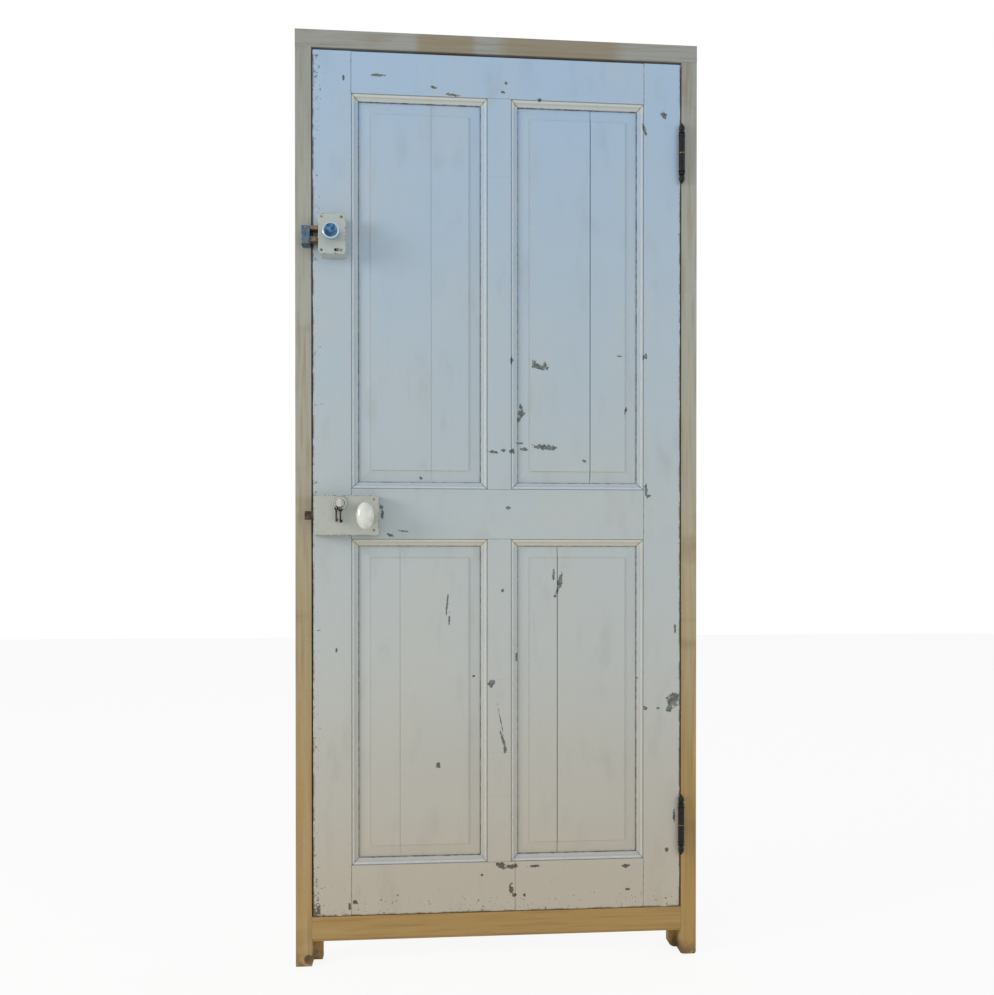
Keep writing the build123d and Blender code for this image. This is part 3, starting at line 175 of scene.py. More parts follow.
def dress(mat, *names):
    """Give CAD nodes a finish."""
    for name in names:
        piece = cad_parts[name]
        piece.data.materials.clear()
        piece.data.materials.append(mat)


LEAF_FOOT, LEAF_HEAD = 0.115, 2.115
LEAF_SIDE = 0.4315  # half the leaf's width
STILE_EDGE = 0.3435  # inner edge of a stile
MUNTIN_EDGE = 0.0275  # half a muntin
RAILS = ((0.115, 0.231), (0.989, 1.105), (2.0185, 2.115))
FACE = (0.0130, 0.0160)  # depths between which the edge of the leaf turns into its face
QUIRK = 0.0008  # distances from the edge of an opening inward
CREST = 0.0045
MOULD = 0.016
FIELD = 0.028  # from the moulding on to the raised field
BAND = 0.020  # what counts as the upper or lower moulding of an opening
# Each colour is partly the paint's own tone and partly painted light: sky blue toward the head,
# warm ground bounce toward the foot.
PAINT_AND_SKY_BOUNCE_BY_HEIGHT = (  # shares of the height between which each colour comes in
    (0.02, 0.30, paint_tone(181, 183, 179)),
    (0.30, 0.62, paint_tone(170, 182, 190)),
    (0.62, 0.97, paint_tone(160, 182, 205)),
)
FOOT_PAINT_AND_BOUNCE = paint_tone(182, 171, 154)
YELLOWED = paint_tone(190, 184, 164)
GRIMY = paint_tone(120, 112, 96)
WARM_BOUNCE_LIGHT = paint_tone(198, 188, 156)
SKY_REFLECTION = paint_tone(150, 172, 202)
BEAD_HIGHLIGHT = paint_tone(206, 206, 194)
FIELD_STEP_TONE = paint_tone(160, 158, 140)
RUST = paint_tone(104, 78, 58)
SPATTER = paint_tone(92, 66, 48)
JOINT_DIRT_AND_SHADE = paint_tone(62, 58, 52)
SCRATCHED = paint_tone(110, 110, 100)
UNDERCOATS = paint_tone(82, 88, 88), paint_tone(118, 120, 112)
LOW_UNDERCOAT = paint_tone(84, 66, 50)
CHIP_GROWTH = 1.05
SCRATCH_REACH = 0.027  # from the middle line
CHIPS = (  # x, z, half width and half height in millimetres, and slope
    (83, 1400, 5, 10, 0.0), (99, 1394, 16, 6, 0.1), (108, 1398, 5, 9, 0.3), (51, 1300, 4, 8, 0.0),
    (53, 1286, 7, 9, 0.2), (47, 1270, 4, 5, 0.0), (108, 1206, 24, 6, 0.1), (60, 1201, 8, 4, 0.0),
    (30, 1195, 6, 5, 0.0), (-15, 1193, 10, 3, 0.1), (10, 1196, 5, 4, 0.0), (49, 1215, 8, 2, 0.0),
    (144, 893, 4, 14, 0.3), (138, 868, 3, 12, 0.2), (129, 905, 3, 10, 0.0), (9, 517, 3, 22, -0.3),
    (14, 495, 4, 7, 0.0), (-17, 651, 8, 8, 0.4), (4, 560, 1, 35, -0.2), (-122, 835, 2, 22, 0.1),
    (-117, 800, 2, 12, 0.0), (-143, 459, 6, 7, 0.5), (413, 607, 14, 18, 0.3), (404, 585, 6, 8, 0.0),
    (348, 588, 6, 4, 0.2), (349, 1106, 3, 13, 0.0), (391, 1995, 12, 8, 0.9),
    (345, 1958, 3, 12, -0.3), (-282, 2062, 14, 3, 0.0), (-153, 2039, 7, 3, 0.2),
    (-110, 2023, 16, 3, 0.1), (-335, 146, 6, 5, 0.3), (-348, 135, 3, 9, 0.0),
    (-361, 2052, 2, 5, 0.0), (16, 2056, 4, 4, 0.0), (8, 2034, 4, 3, 0.0), (95, 2019, 4, 3, 0.0),
    (21, 1062, 5, 3, 0.0), (7, 869, 3, 4, 0.0), (31, 220, 12, 5, 0.0), (85, 219, 14, 3, 0.0),
    (59, 151, 3, 4, 0.0), (302, 214, 9, 4, 0.0), (307, 159, 5, 3, 0.0), (-275, 1063, 6, 4, 0.5),
    (-272, 1045, 3, 12, 0.0), (-254, 998, 10, 3, 0.3), (-222, 1007, 12, 2, 0.1),
    (349, 1424, 3, 7, 0.0), (301, 1295, 3, 9, 0.2), (418, 330, 3, 12, 0.0), (400, 250, 4, 6, 0.0),
    (420, 776, 3, 9, 0.0), (-378, 730, 2, 5, 0.1), (343, 1421, 3, 5, 0.0), (286, 1423, 6, 2, 0.0),
    (202, 1174, 5, 3, 0.5), (355, 1092, 6, 4, 0.0), (378, 588, 3, 2, 0.0), (145, 886, 5, 12, 0.2),
    (133, 855, 3, 3, 0.0), (329, 660, 2, 3, 0.0), (41, 712, 2, 10, 0.0), (29, 1409, 3, 10, 0.0),
    (4, 223, 11, 7, 0.4), (28, 166, 5, 12, 0.0), (36, 152, 5, 4, 0.0), (-183, 1131, 3, 3, 0.0),
    (-40, 201, 3, 3, 0.0), (-60, 667, 3, 2, 0.0),
)

old_paint, shader, place, x, y, z = new_finish("old_paint", coat=0.08)
rise = (z - LEAF_FOOT) / (LEAF_HEAD - LEAF_FOOT)
# Partly painted light: warm ground bounce at the foot, cool sky light toward the head.
paint = FOOT_PAINT_AND_BOUNCE
for low, high, tone in PAINT_AND_SKY_BOUNCE_BY_HEIGHT:
    paint = blend(ramp(rise, low, high, False), paint, tone)
cloudy = mottle(place, 4.0, 4.0, (1, 1, 0.6))
paint = blend(ramp(cloudy, 0.45, 0.72) * 0.20, paint, YELLOWED)
grime = mottle(place, 22.0, 5.0, (1, 1, 0.35))
paint = blend(ramp(grime, 0.52, 0.80) * 0.14, paint, GRIMY)
brushed = mottle(place, 240.0, 3.0, (1, 1, 0.03))
patchy = ramp(mottle(place, 70.0, 6.0, rough=0.7), 0.34, 0.62)
jitter = (mottle(place, 190.0, 4.0) - 0.5) * 0.0016
front = y < 0.0
nothing = x * 0.0

# Dirt in the joints and mitres, painted shade in the quirks and along the panels' edges,
# and painted light on the mouldings: warm bounce above, sky reflection below, highlights on the
# beads.
shade_and_joint_dirt = warm_bounce_band = sky_reflection_band = bead_highlight = field_line = nothing
for x0, x1 in ((-STILE_EDGE, -MUNTIN_EDGE), (MUNTIN_EDGE, STILE_EDGE)):
    for z0, z1 in ((RAILS[0][1], RAILS[1][0]), (RAILS[1][1], RAILS[2][0])):
        cz, half_high = (z0 + z1) / 2, (z1 - z0) / 2
        out_x = abs(x - (x0 + x1) / 2) - (x1 - x0) / 2
        out_z = abs(z - cz) - half_high
        outward = out_x.most(out_z) + jitter
        # Painted shade, with some dirt, in the gap at the panel's edge, then painted shade in the
        # quirk and dirt in the mitre.
        shade_and_joint_dirt = shade_and_joint_dirt.most(line(outward + MOULD, 0.0003, 0.0016) * (0.45 + 0.40 * patchy))
        shade_and_joint_dirt = shade_and_joint_dirt.most(line(outward + QUIRK, 0.0003, 0.0012) * 0.45)
        on_corner = (outward < 0.0005) * (outward > -MOULD - 0.001)
        mitre = line(out_x - out_z + jitter, 0.0006, 0.0018)
        shade_and_joint_dirt = shade_and_joint_dirt.most(mitre * on_corner * 0.8)
        on_mould = (outward < 0.0) * (outward > -MOULD)
        # Painted highlight along the crest of each bead.
        bead_highlight = bead_highlight.most(line(outward + CREST, 0.0008, 0.0024))
        # Painted light: warm bounce from the ground on each upper moulding.
        warm_bounce_band = warm_bounce_band + on_mould * (z > cz + half_high - BAND)
        # Painted light: sky reflection on each lower moulding.
        sky_reflection_band = sky_reflection_band + on_mould * (z < cz - half_high + BAND)
        at_field = line(outward + MOULD + FIELD, 0.0006, 0.0022)
        # A darker line along the step of the field.
        field_line = field_line.most(at_field)
        # Painted light: warm bounce on the lower step of the field.
        low_field = (z < cz) * (abs(z - cz + half_high - MOULD - FIELD) < 0.004)
        warm_bounce_band = warm_bounce_band + at_field * low_field * 0.9
for z0, z1 in RAILS:
    in_rail = (z > z0) * (z < z1)
    shoulder = line(abs(x + jitter) - STILE_EDGE, 0.0002, 0.0012)
    shade_and_joint_dirt = shade_and_joint_dirt.most(shoulder * in_rail)
for level in (RAILS[0][1], *RAILS[1], RAILS[2][0]):
    shoulder = line(z - level + jitter, 0.0002, 0.0010)
    shade_and_joint_dirt = shade_and_joint_dirt.most(shoulder * (abs(x) < MUNTIN_EDGE) * 0.7)
# Painted light: warm ground bounce on the upper mouldings and the field's lower step.
paint = blend(ramp(warm_bounce_band, 0.2, 0.9) * 0.50, paint, WARM_BOUNCE_LIGHT)
# Painted light: sky reflection on the lower mouldings.
paint = blend(ramp(sky_reflection_band, 0.2, 0.9) * 0.24, paint, SKY_REFLECTION)
# Painted highlight along the beads.
paint = blend(bead_highlight * (0.25 + 0.35 * patchy), paint, BEAD_HIGHLIGHT)
# A darker, warmer line along the step of the field.
paint = blend(field_line * 0.35 * patchy, paint, FIELD_STEP_TONE)

# Chips where things struck it, flakes at the edges, rust and spatter at the rim.
wobble = (mottle(place, 150.0, 5.0, rough=0.65) - 0.5) * 3.0
struck = nothing
for *measures, slope in CHIPS:
    cx, cz, wide, high = (v / 1000 for v in measures)
    dx = (x - cx - (z - cz) * slope) / (wide * CHIP_GROWTH)
    dz = (z - cz + (x - cx) * slope) / (high * CHIP_GROWTH)
    struck = struck.most((dx * dx + dz * dz) ** 0.5 + wobble < 1.0)
flake = mottle(place, 95.0, 6.0, rough=0.75)
lock_edge = 1.0 - ramp(x + LEAF_SIDE, 0.004, 0.045)
hinge_edge = 1.0 - ramp(LEAF_SIDE - x, 0.001, 0.016)
low_edge = 1.0 - ramp(z - LEAF_FOOT, 0.003, 0.035)
corner = lock_edge * (ramp(z, 1.92, 2.08) + (1.0 - ramp(z, 0.13, 0.30)))
flaked = flake > 0.735 - 0.10 * lock_edge - 0.10 * hinge_edge - 0.11 * low_edge - 0.07 * corner
by_face = ramp(abs(y), *FACE)
from_side = LEAF_SIDE - abs(x)
knocked = ramp(mottle(place, 14.0, 5.0, (1, 1, 0.5)), 0.44, 0.56)
arris = by_face * (1.0 - ramp(from_side, 0.0006, 0.0022)) * knocked
bare = (struck * front).most(flaked.most(arris))
rim = from_side.least(z - LEAF_FOOT)
rusty = ramp(mottle(place, 26.0, 6.0, rough=0.7), 0.42, 0.56)
rusty = (1.0 - ramp(rim + jitter * 2.0, 0.0012, 0.0046)) * rusty
paint = blend(rusty * by_face * 0.8, paint, RUST)
low_corner = (1.0 - ramp(z, 0.12, 0.24)) * (0.45 + 0.55 * lock_edge)
spatter = mottle(place, 150.0, 4.0, (1, 1, 0.8), 0.6)
spots = (spatter > 0.74 - 0.17 * low_corner) * ramp(low_corner, 0.05, 0.3)
paint = blend(spots * 0.8, paint, SPATTER)
# Dirt in the joints and mitres, and painted shade in the quirks and along the panels' edges.
paint = blend(shade_and_joint_dirt * (0.45 + 0.45 * patchy), paint, JOINT_DIRT_AND_SHADE)
scratch = mottle(place, 36.0, 2.0, (0.05, 1, 14.0))
scratches = (scratch > 0.735) * (abs(x) < SCRATCH_REACH) * front
paint = blend(scratches * 0.45, paint, SCRATCHED)
undercoat = blend(ramp(mottle(place, 130.0), 0.4, 0.62), *UNDERCOATS)
undercoat = blend((1.0 - ramp(z, 0.20, 0.36)) * 0.7, undercoat, LOW_UNDERCOAT)
paint = blend(bare, paint, undercoat)
relief = brushed * 0.22 + cloudy * 0.3 - bare * 0.9 - shade_and_joint_dirt * 0.6
lay_on(old_paint, shader, paint, 0.42 + 0.2 * grime + 0.25 * bare, relief, 0.0006, 0.7)
leaf_nodes = [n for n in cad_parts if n.startswith(("stile", "rail", "muntin", "panel"))]
dress(old_paint, *leaf_nodes)


# The frame: two jambs, a head and a bottom bar in bare softwood, tenoned together,
# greyed near the head and golden toward the feet, the gold partly painted warm light
# bounced from the ground, with stains on the head, a dead knot at the lock jamb's
# foot and rot at the hinge jamb's foot.
# Each colour is the wood's own, with painted warm ground bounce in the gold toward the feet.
WOOD_AND_BOUNCE_BY_HEIGHT = (  # heights between which each colour comes in
    (0.02, 0.35, paint_tone(162, 130, 76)),
    (0.35, 0.85, paint_tone(162, 146, 112)),
    (0.80, 1.15, paint_tone(162, 156, 138)),
    (1.10, 1.60, paint_tone(160, 160, 150)),
    (1.70, 2.12, paint_tone(148, 149, 143)),
)
FOOT_WOOD_AND_BOUNCE = paint_tone(168, 134, 78)
LATE_WOOD = paint_tone(122, 94, 58)
PALE_WOOD = paint_tone(190, 176, 146)
WATER_STAIN = paint_tone(126, 100, 66)
HEAD_STAIN = paint_tone(132, 112, 76)
KNOT = paint_tone(92, 58, 30)
DEAD_KNOT = paint_tone(84, 54, 30)
ROT = paint_tone(64, 46, 30)
DAMP = paint_tone(84, 62, 38)
HEAD_STAINS = ((-0.125, 0.055), (0.145, 0.115))  # middle and half width
DEAD_KNOT_X, DEAD_KNOT_Z = 0.4415, 0.016  # left of the middle line, above the floor
KNOT_RINGS = 3200.0
ROT_X = 0.428


def softwood(name, run):
    """Bare softwood; run is the stretch that draws its grain out along the piece."""
    mat, shader, place, x, y, z = new_finish(name)
    # The gold toward the feet is partly painted ground bounce.
    wood = FOOT_WOOD_AND_BOUNCE
    for low, high, tone in WOOD_AND_BOUNCE_BY_HEIGHT:
        wood = blend(ramp(z, low, high), wood, tone)
    early = mottle(place, 120.0, 4.0, run)
    broad = mottle(place, 26.0, 3.0, run)
    wood = blend(ramp(early, 0.44, 0.70) * 0.38, wood, LATE_WOOD)
    wood = blend(ramp(broad, 0.50, 0.75) * 0.30, wood, PALE_WOOD)
    stain = ramp(mottle(place, 9.0, 5.0, (0.6, 1, 1)), 0.56, 0.74)
    wood = blend(stain * 0.40, wood, WATER_STAIN)
    for cx, wide in HEAD_STAINS:
        ragged = abs(x - cx) / wide + (stain - 0.5) * 0.6
        patch = (1.0 - ramp(ragged, 0.7, 1.1)) * (z > LEAF_HEAD)
        wood = blend(patch * 0.55, wood, HEAD_STAIN)
    knots = place.of("ShaderNodeTexVoronoi", {}, {"Vector": place, "Scale": 3.1, "Randomness": 1.0})
    wood = blend((1.0 - ramp(knots, 0.012, 0.026)) * 0.8, wood, KNOT)
    knot_x, knot_z = x + DEAD_KNOT_X, z - DEAD_KNOT_Z
    from_knot = (knot_x * knot_x + knot_z * knot_z) ** 0.5
    ring = from_knot.maths("SINE", from_knot * KNOT_RINGS)
    dead_knot = (1.0 - ramp(from_knot, 0.0095, 0.0125)) * (y < 0.0)
    wood = blend(dead_knot * (0.75 + 0.2 * ring), wood, DEAD_KNOT)
    rotten = (1.0 - ramp(abs(x - ROT_X) + z * 0.5, 0.010, 0.026)) * ramp(broad, 0.3, 0.6)
    wood = blend(rotten * 0.85, wood, ROT)
    damp = (1.0 - ramp(z, 0.0, 0.045)) * ramp(mottle(place, 60.0, 5.0), 0.35, 0.6)
    wood = blend(damp * 0.7, wood, DAMP)
    pores = mottle(place, 900.0, 2.0, run)
    lay_on(mat, shader, wood, 0.62 + 0.2 * broad, early * 0.5 + pores * 0.25, 0.0005, 0.6)
    return mat


upright = softwood("softwood_upright", (1, 1, 0.045))
dress(upright, "frame_jamb_lock", "frame_jamb_hinge")
across = softwood("softwood_across", (0.045, 1, 1))
dress(across, "frame_head", "frame_bottom_bar")


# The hinges: turned iron barrels blackened with old paint and worn a little on
# their rings, on steel pins with a brass washer between the halves.
def metal(name, dark, light, rough, metallic, scale=300.0):
    """A metal or painted finish that varies a little from place to place."""
    mat, shader, place, x, y, z = new_finish(name, metallic)
    worn = mottle(place, scale, 4.0)
    smear = mottle(place, scale / 6, 3.0)
    tone = blend(ramp(worn, 0.35, 0.70), dark, light)
    tone = blend(ramp(smear, 0.52, 0.75) * 0.4, tone, dark)
    lay_on(mat, shader, tone, rough + 0.15 * smear, worn, 0.0001, 0.4)
    return mat


dress(
    metal("black_iron", paint_tone(12, 12, 13), paint_tone(36, 35, 36), 0.38, 0.6),
    "hinge_lower_leaf_half", "hinge_lower_frame_half",
    "hinge_upper_leaf_half", "hinge_upper_frame_half",
)
dull_steel = metal("dull_steel", paint_tone(96, 92, 84), paint_tone(150, 146, 136), 0.42, 0.9)
dress(
    dull_steel,
    "hinge_pins", "hinge_frame_screws", "hinge_leaf_screws", "bar_screws", "frame_foot_screw",
)
old_brass = metal("old_brass", paint_tone(112, 90, 50), paint_tone(168, 140, 84), 0.36, 0.9)
dress(old_brass, "hinge_washers")


# The rim lock: an iron case under the same cream paint as the leaf, worn to
# brown iron along its edges, with its latch, dead bolt, follower and spindle.
IRON_UNDER_PAINT = paint_tone(86, 70, 52)
CASE_GRIME = paint_tone(158, 148, 122)


def painted_case(name, side_to_side, foot_to_head, y_face, cream):
    """Paint over iron, worn through along the front edges of a case."""
    mat, shader, place, x, y, z = new_finish(name, coat=0.15)
    edges = []
    for along, (start, end) in ((x, side_to_side), (z, foot_to_head)):
        edges.append((end - start) / 2 - abs(along - (start + end) / 2))
    worn = mottle(place, 130.0, 5.0, rough=0.7)
    edge = edges[0].least(edges[1])
    rub = (1.0 - ramp(edge, 0.0, 0.0035)) * (y < y_face + 0.003) * ramp(worn, 0.52, 0.60)
    bare = rub.most(worn > 0.80)
    grime = mottle(place, 40.0, 4.0)
    paint = blend(ramp(grime, 0.45, 0.75) * 0.25, cream, CASE_GRIME)
    paint = blend(bare, paint, IRON_UNDER_PAINT)
    lay_on(mat, shader, paint, 0.34 + 0.2 * grime + 0.2 * bare, grime * 0.4 - bare, 0.0004, 0.6)
    return mat


rim_lock_paint = painted_case(
    "rim_lock_paint", (-0.426, -0.2785), (0.9965, 1.0875), -0.0475, paint_tone(174, 176, 168)
)
dress(rim_lock_paint, "lock_case", "lock_back_plate")
dress(
    dull_steel,
    "lock_dead_bolt", "lock_follower", "lock_spindle", "lock_turn_crank", "lock_plate_screws",
)
latch_steel = metal("latch_steel", paint_tone(50, 42, 34), paint_tone(96, 84, 68), 0.4, 0.7, 120.0)
dress(latch_steel, "lock_latch_bolt")
dress(old_brass, "lock_outer_rose", "lock_cylinder", "lock_cylinder_ring")


# The screws of the locks: slotted, with raised heads a little proud of the paint,
# each driven home to its own angle and painted over with the case.
SCREW_SIZES = {
    "Head radius": 0.0034, "Head depth": 0.0016, "Dome": 0.0007,
    "Shank radius": 0.0016, "Slot width": 0.0008, "Slot depth": 0.0005,
}
DOME_FIT = 0.97  # the dome's radius as a share of the head's
TURNS = (0.2, 2.9)  # least and most angle of a slot, in radians
TURN_SEED = 5


def screw_tree():
    """Geometry nodes that set one slotted screw, facing the front, on every point."""
    tree = bpy.data.node_groups.new("slotted_screws", "GeometryNodeTree")
    face = tree.interface
    face.new_socket("Places", in_out="INPUT", socket_type="NodeSocketGeometry")
    for label in (*SCREW_SIZES, "Length"):
        face.new_socket(label, in_out="INPUT", socket_type="NodeSocketFloat")
    face.new_socket("Finish", in_out="INPUT", socket_type="NodeSocketMaterial")
    face.new_socket("Screws", in_out="OUTPUT", socket_type="NodeSocketGeometry")
    group_in = tree.nodes.new("NodeGroupInput")
    size = {out.name: Sock(tree, out) for out in group_in.outputs if out.name}
    head_r, head_deep = size["Head radius"], size["Head depth"]
    shank_r, length = size["Shank radius"], size["Length"]
    of = head_r.of

    def moved(made, **move_or_scale):
        sockets = {"Geometry": made}
        for label, by in move_or_scale.items():
            sockets[label] = of("ShaderNodeCombineXYZ", {}, by)
        return of("GeometryNodeTransform", {}, sockets)

    cone = of(
        "GeometryNodeMeshCone", {},
        {"Vertices": 32, "Radius Top": head_r, "Radius Bottom": shank_r, "Depth": head_deep},
    )
    head = moved(cone, Translation={2: -head_deep})
    rod = of(
        "GeometryNodeMeshCylinder", {},
        {"Vertices": 16, "Radius": shank_r, "Depth": length - head_deep * 0.5},
    )
    shank = moved(rod, Translation={2: (length + head_deep * 0.5) * -0.5})
    ball = of("GeometryNodeMeshUVSphere", {}, {"Segments": 32, "Rings": 12, "Radius": 1.0})
    dome_r = head_r * DOME_FIT
    dome = moved(ball, Scale={0: dome_r, 1: dome_r, 2: size["Dome"]})
    whole = of("GeometryNodeMeshBoolean", {"operation": "UNION"}, {})
    for part in (head, shank, dome):
        tree.links.new(part.out, whole.out.node.inputs["Mesh 2"])
    slot_deep = (size["Dome"] + size["Slot depth"]) * 2.0
    slot = of("ShaderNodeCombineXYZ", {}, {0: head_r * 3.0, 1: size["Slot width"], 2: slot_deep})
    cutter = of("GeometryNodeMeshCube", {}, {"Size": slot})
    slotted = of(
        "GeometryNodeMeshBoolean", {"operation": "DIFFERENCE"}, {"Mesh 1": whole, "Mesh 2": cutter}
    )
    facing = of(
        "GeometryNodeTransform", {}, {"Geometry": slotted, "Rotation": (math.pi / 2, 0, 0)}
    )
    angle = of(
        "FunctionNodeRandomValue", {"data_type": "FLOAT"},
        {2: TURNS[0], 3: TURNS[1], "Seed": TURN_SEED}, 1,
    )
    each = of("ShaderNodeCombineXYZ", {}, {1: angle})
    rows = of(
        "GeometryNodeInstanceOnPoints", {},
        {"Points": size["Places"], "Instance": facing, "Rotation": each},
    )
    real = of("GeometryNodeRealizeInstances", {}, {"Geometry": rows})
    painted = of("GeometryNodeSetMaterial", {}, {"Geometry": real, "Material": size["Finish"]})
    group_out = tree.nodes.new("NodeGroupOutput")
    tree.links.new(painted.out, group_out.inputs["Screws"])
    return tree


slotted_screws = screw_tree()


def drive_screws(name, node, body, finish):
    """Screws at the corners of the box that the node's own screws fill."""
    low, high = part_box(node)
    head_r = SCREW_SIZES["Head radius"]
    across = sorted({round(low[0] + head_r, 5), round(high[0] - head_r, 5)})
    up = sorted({round(low[2] + head_r, 5), round(high[2] - head_r, 5)})
    spots = bpy.data.meshes.new(name + "_spots")
    spots.from_pydata([(cx, low[1], cz) for cx in across for cz in up], [], [])
    piece = bpy.data.objects.new(name, spots)
    bpy.context.collection.objects.link(piece)
    driver = piece.modifiers.new("screws", "NODES")
    driver.node_group = slotted_screws
    wanted = {**SCREW_SIZES, "Length": high[1] - low[1], "Finish": finish}
    for item in slotted_screws.interface.items_tree:
        if item.in_out == "INPUT" and item.name in wanted:
            driver[item.identifier] = wanted[item.name]
    graph = bpy.context.evaluated_depsgraph_get()
    made = bpy.data.meshes.new_from_object(piece.evaluated_get(graph), depsgraph=graph)
    piece.modifiers.remove(driver)
    made.shade_smooth()
    made.set_sharp_from_angle(angle=math.radians(35))
    piece.data = made
    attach(piece, body)
    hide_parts(node)


cream_screw = metal(
    "cream_screw", paint_tone(120, 112, 94), paint_tone(168, 160, 140), 0.5, 0.2, 120.0
)
drive_screws("rim_lock_screws", "lock_case_screws", "leaf", cream_screw)
pale_screw = metal(
    "pale_screw", paint_tone(112, 108, 100), paint_tone(166, 162, 152), 0.4, 0.5, 120.0
)
drive_screws("night_latch_screws", "night_screws", "leaf", pale_screw)


# The thumb turn: a small painted head on a stepped rose, with painted shade in the rings
# at the edges of the rose and the collar, and a key ring with two small iron keys hung on its
# collar.
TURN_X, TURN_Z = 0.3655, 1.0695  # left of the middle line, above the floor
ROSE_RING, COLLAR_RING = 0.0158, 0.0098
RING_SHADE = paint_tone(88, 86, 78)

turn_paint, shader, place, x, y, z = new_finish("turn_paint", coat=0.3)
turn_x, turn_z = x + TURN_X, z - TURN_Z
from_turn = (turn_x * turn_x + turn_z * turn_z) ** 0.5
# Painted shade in the rings at the edges of the rose and the collar.
rings = line(from_turn - ROSE_RING, 0.0004, 0.0012)
rings = rings.most(line(from_turn - COLLAR_RING, 0.0003, 0.0010))
handled = mottle(place, 90.0, 3.0)
tone = blend(handled, paint_tone(182, 182, 174), paint_tone(196, 196, 190))
tone = blend(rings * 0.75, tone, RING_SHADE)
lay_on(turn_paint, shader, tone, 0.3 + 0.1 * handled, handled, 0.0001, 0.2)
dress(turn_paint, "lock_turn_rose", "lock_turn_knob")
key_dark = metal("key_dark", paint_tone(34, 26, 22), paint_tone(62, 48, 40), 0.45, 0.5, 200.0)
dress(key_dark, "key_left", "key_right")
ring_nickel = metal(
    "ring_nickel", paint_tone(168, 164, 154), paint_tone(214, 210, 200), 0.3, 0.8, 90.0
)
dress(ring_nickel, "key_ring")


# The oval knobs: glossy cream enamel, a little yellowed, one on each side of the
# door, on one square spindle.
cream_enamel, shader, place, x, y, z = new_finish("cream_enamel", coat=0.7)
yellowed = mottle(place, 60.0, 3.0)
glaze = blend(ramp(yellowed, 0.4, 0.7), paint_tone(212, 214, 206), paint_tone(200, 198, 182))
lay_on(cream_enamel, shader, glaze, 0.18 + 0.1 * yellowed, yellowed, 0.0001, 0.3)
dress(cream_enamel, "lock_knob_inner", "lock_knob_outer")


# The night latch: an enamelled case with a chrome knob with a dish, its blue and
# pale tints a painted sky reflection, brown steel ears that guide the bolt, and a
# steel keeper screwed to the jamb, its blue a painted sky reflection.
NIGHT_KNOB_X, NIGHT_KNOB_Z = 0.383, 1.677  # left of the middle line, above the floor
DISH = (0.0148, 0.0160)  # radii between which the dish ends

night_latch_paint = painted_case(
    "night_latch_paint", (-0.4145, -0.3525), (1.635, 1.7265), -0.0535, paint_tone(176, 182, 179)
)
dress(night_latch_paint, "night_case", "night_back_plate")
night_chrome_sky_reflection, shader, place, x, y, z = new_finish("night_chrome_sky_reflection", metallic=0.8)
knob_x, knob_z = x + NIGHT_KNOB_X, z - NIGHT_KNOB_Z
in_dish = 1.0 - ramp((knob_x * knob_x + knob_z * knob_z) ** 0.5, *DISH)
cloud = mottle(place, 90.0, 3.0)
# Painted sky reflection: pale blue on the rim, deep blue in the dish.
rim_sky_reflection = blend(cloud, paint_tone(150, 178, 196), paint_tone(196, 210, 220))
dish_sky_reflection = blend(ramp(cloud, 0.4, 0.7), paint_tone(40, 74, 112), paint_tone(96, 134, 166))
tone = blend(in_dish, rim_sky_reflection, dish_sky_reflection)
lay_on(night_chrome_sky_reflection, shader, tone, 0.22 + 0.1 * cloud, cloud, 0.0001, 0.2)
dress(night_chrome_sky_reflection, "night_knob")
# The keeper's blue is a painted sky reflection on plain steel.
keeper_steel_sky_reflection = metal(
    "keeper_steel_sky_reflection", paint_tone(74, 92, 112), paint_tone(104, 124, 144), 0.35, 0.7, 120.0
)
dress(keeper_steel_sky_reflection, "night_keeper")
ear_steel = metal("ear_steel", paint_tone(88, 70, 52), paint_tone(146, 126, 104), 0.45, 0.4, 90.0)
dress(ear_steel, "night_guide", "night_snib")
dress(dull_steel, "night_bolt", "night_crank", "night_keeper_screws")
dress(old_brass, "night_cylinder", "night_cylinder_ring")


# The stage: a pale floor and a white sky, seen as white straight on and in metal,
# two soft lamps, and the camera at the height and angle of the photograph.
def looked_at(tree):
    """1 where the camera looks, straight or by way of metal or glass, else 0."""
    path = tree.nodes.new("ShaderNodeLightPath")
    straight, mirrored, through = (
        Sock(tree, path.outputs[label])
        for label in ("Is Camera Ray", "Is Glossy Ray", "Is Transmission Ray")
    )
    return straight.most(mirrored.most(through))


def mixed(tree, share, first, second, end):
    """Send the first or the second shader to the end node by the share."""
    mix = tree.nodes.new("ShaderNodeMixShader")
    tree.links.new(share.out, mix.inputs[0])
    tree.links.new(first.outputs[0], mix.inputs[1])
    tree.links.new(second.outputs[0], mix.inputs[2])
    tree.links.new(mix.outputs[0], tree.nodes[end].inputs[0])


FLOOR_SIZE, FLOOR_Y = 14, 2.0
FLOOR_TONE = (0.88, 0.85, 0.79, 1)
FLOOR_BLEACH = 0.88  # how far the floor goes to white where it is looked at
SKY_TONE, SKY_STRENGTH = (0.88, 0.95, 1.0, 1), 0.70

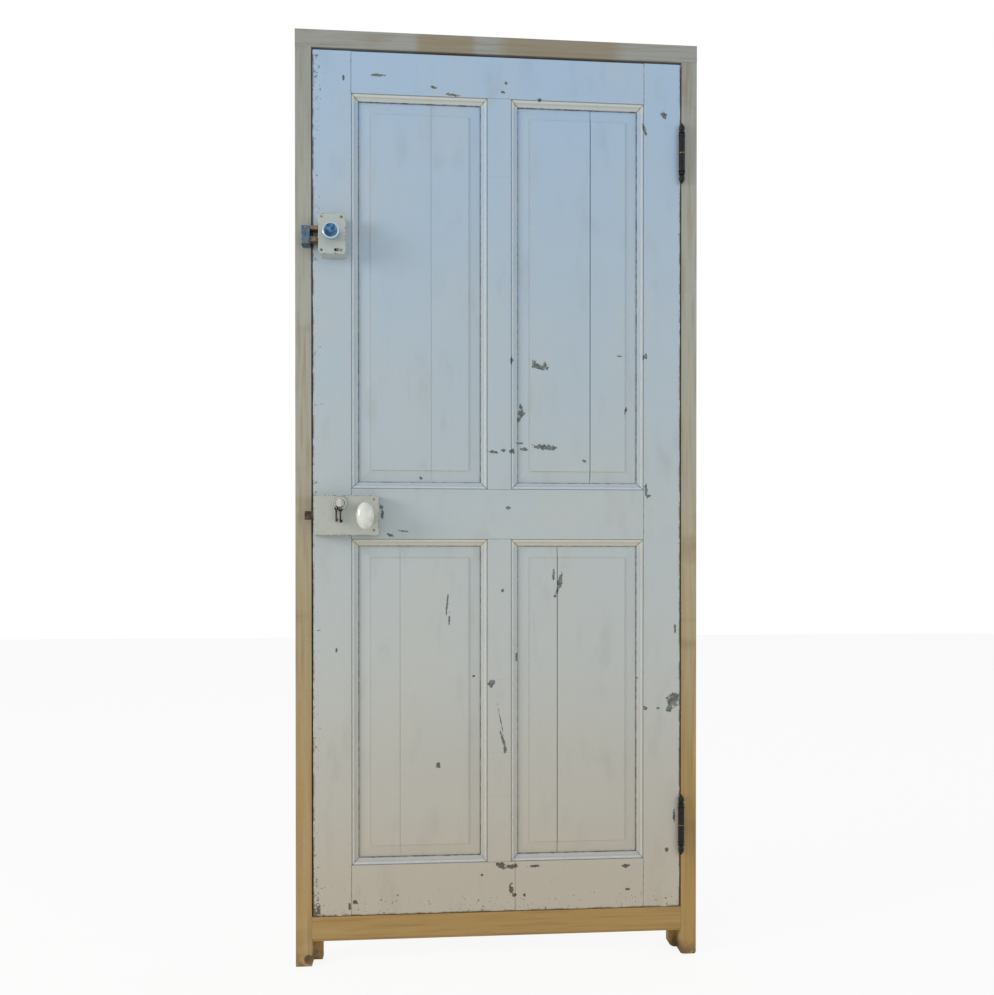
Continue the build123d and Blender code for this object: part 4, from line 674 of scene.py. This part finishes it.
bpy.ops.mesh.primitive_plane_add(size=FLOOR_SIZE, location=(0, FLOOR_Y, 0))
floor = bpy.context.object
floor.name = "floor"
chalk = bpy.data.materials.new("floor")
chalk.use_nodes = True
floor.data.materials.append(chalk)
tree = chalk.node_tree
matt = tree.nodes["Principled BSDF"]
matt.inputs["Base Color"].default_value = FLOOR_TONE
matt.inputs["Roughness"].default_value = 0.9
glow = tree.nodes.new("ShaderNodeEmission")
mixed(tree, looked_at(tree) * FLOOR_BLEACH, matt, glow, "Material Output")

world = bpy.data.worlds.new("studio")
bpy.context.scene.world = world
world.use_nodes = True
tree = world.node_tree
sky = tree.nodes["Background"]
sky.inputs["Color"].default_value = SKY_TONE
sky.inputs["Strength"].default_value = SKY_STRENGTH
white = tree.nodes.new("ShaderNodeBackground")
white.inputs["Color"].default_value = (1, 1, 1, 1)
mixed(tree, looked_at(tree), sky, white, "World Output")


def lamp(name, place, aim, size, watts, tone):
    """A soft square light aimed at a point."""
    data = bpy.data.lights.new(name, "AREA")
    data.size = size
    data.energy = watts
    data.color = tone
    light = bpy.data.objects.new(name, data)
    bpy.context.collection.objects.link(light)
    light.location = place
    dx, dy, dz = (b - a for a, b in zip(place, aim))
    tilt = math.atan2(math.hypot(dx, dy), -dz)
    light.rotation_euler = (tilt, 0, math.atan2(-dx, dy))


lamp("key", (-4.4, -1.7, 2.1), (0, 0, 1.1), 1.6, 98, (1.0, 0.96, 0.90))
lamp("fill", (3.2, -3.4, 1.8), (0, 0, 1.0), 2.4, 34, (0.94, 0.97, 1.0))

PHOTO_WIDTH = 994  # pixels
SENSOR = 36.0
FOCAL, RAISED = 900, 67.8  # pixels too
camera_data = bpy.data.cameras.new("camera")
camera_data.sensor_width = SENSOR
camera_data.sensor_fit = "HORIZONTAL"
camera_data.lens = SENSOR * FOCAL / PHOTO_WIDTH
camera_data.shift_y = RAISED / PHOTO_WIDTH
camera = bpy.data.objects.new("camera", camera_data)
bpy.context.collection.objects.link(camera)
camera.location = (-0.1657, -2.1209, 0.9386)
camera.rotation_euler = (math.radians(90 - 0.30), 0, math.radians(-4.36))
bpy.context.scene.camera = camera
bpy.context.scene.view_settings.view_transform = "Standard"
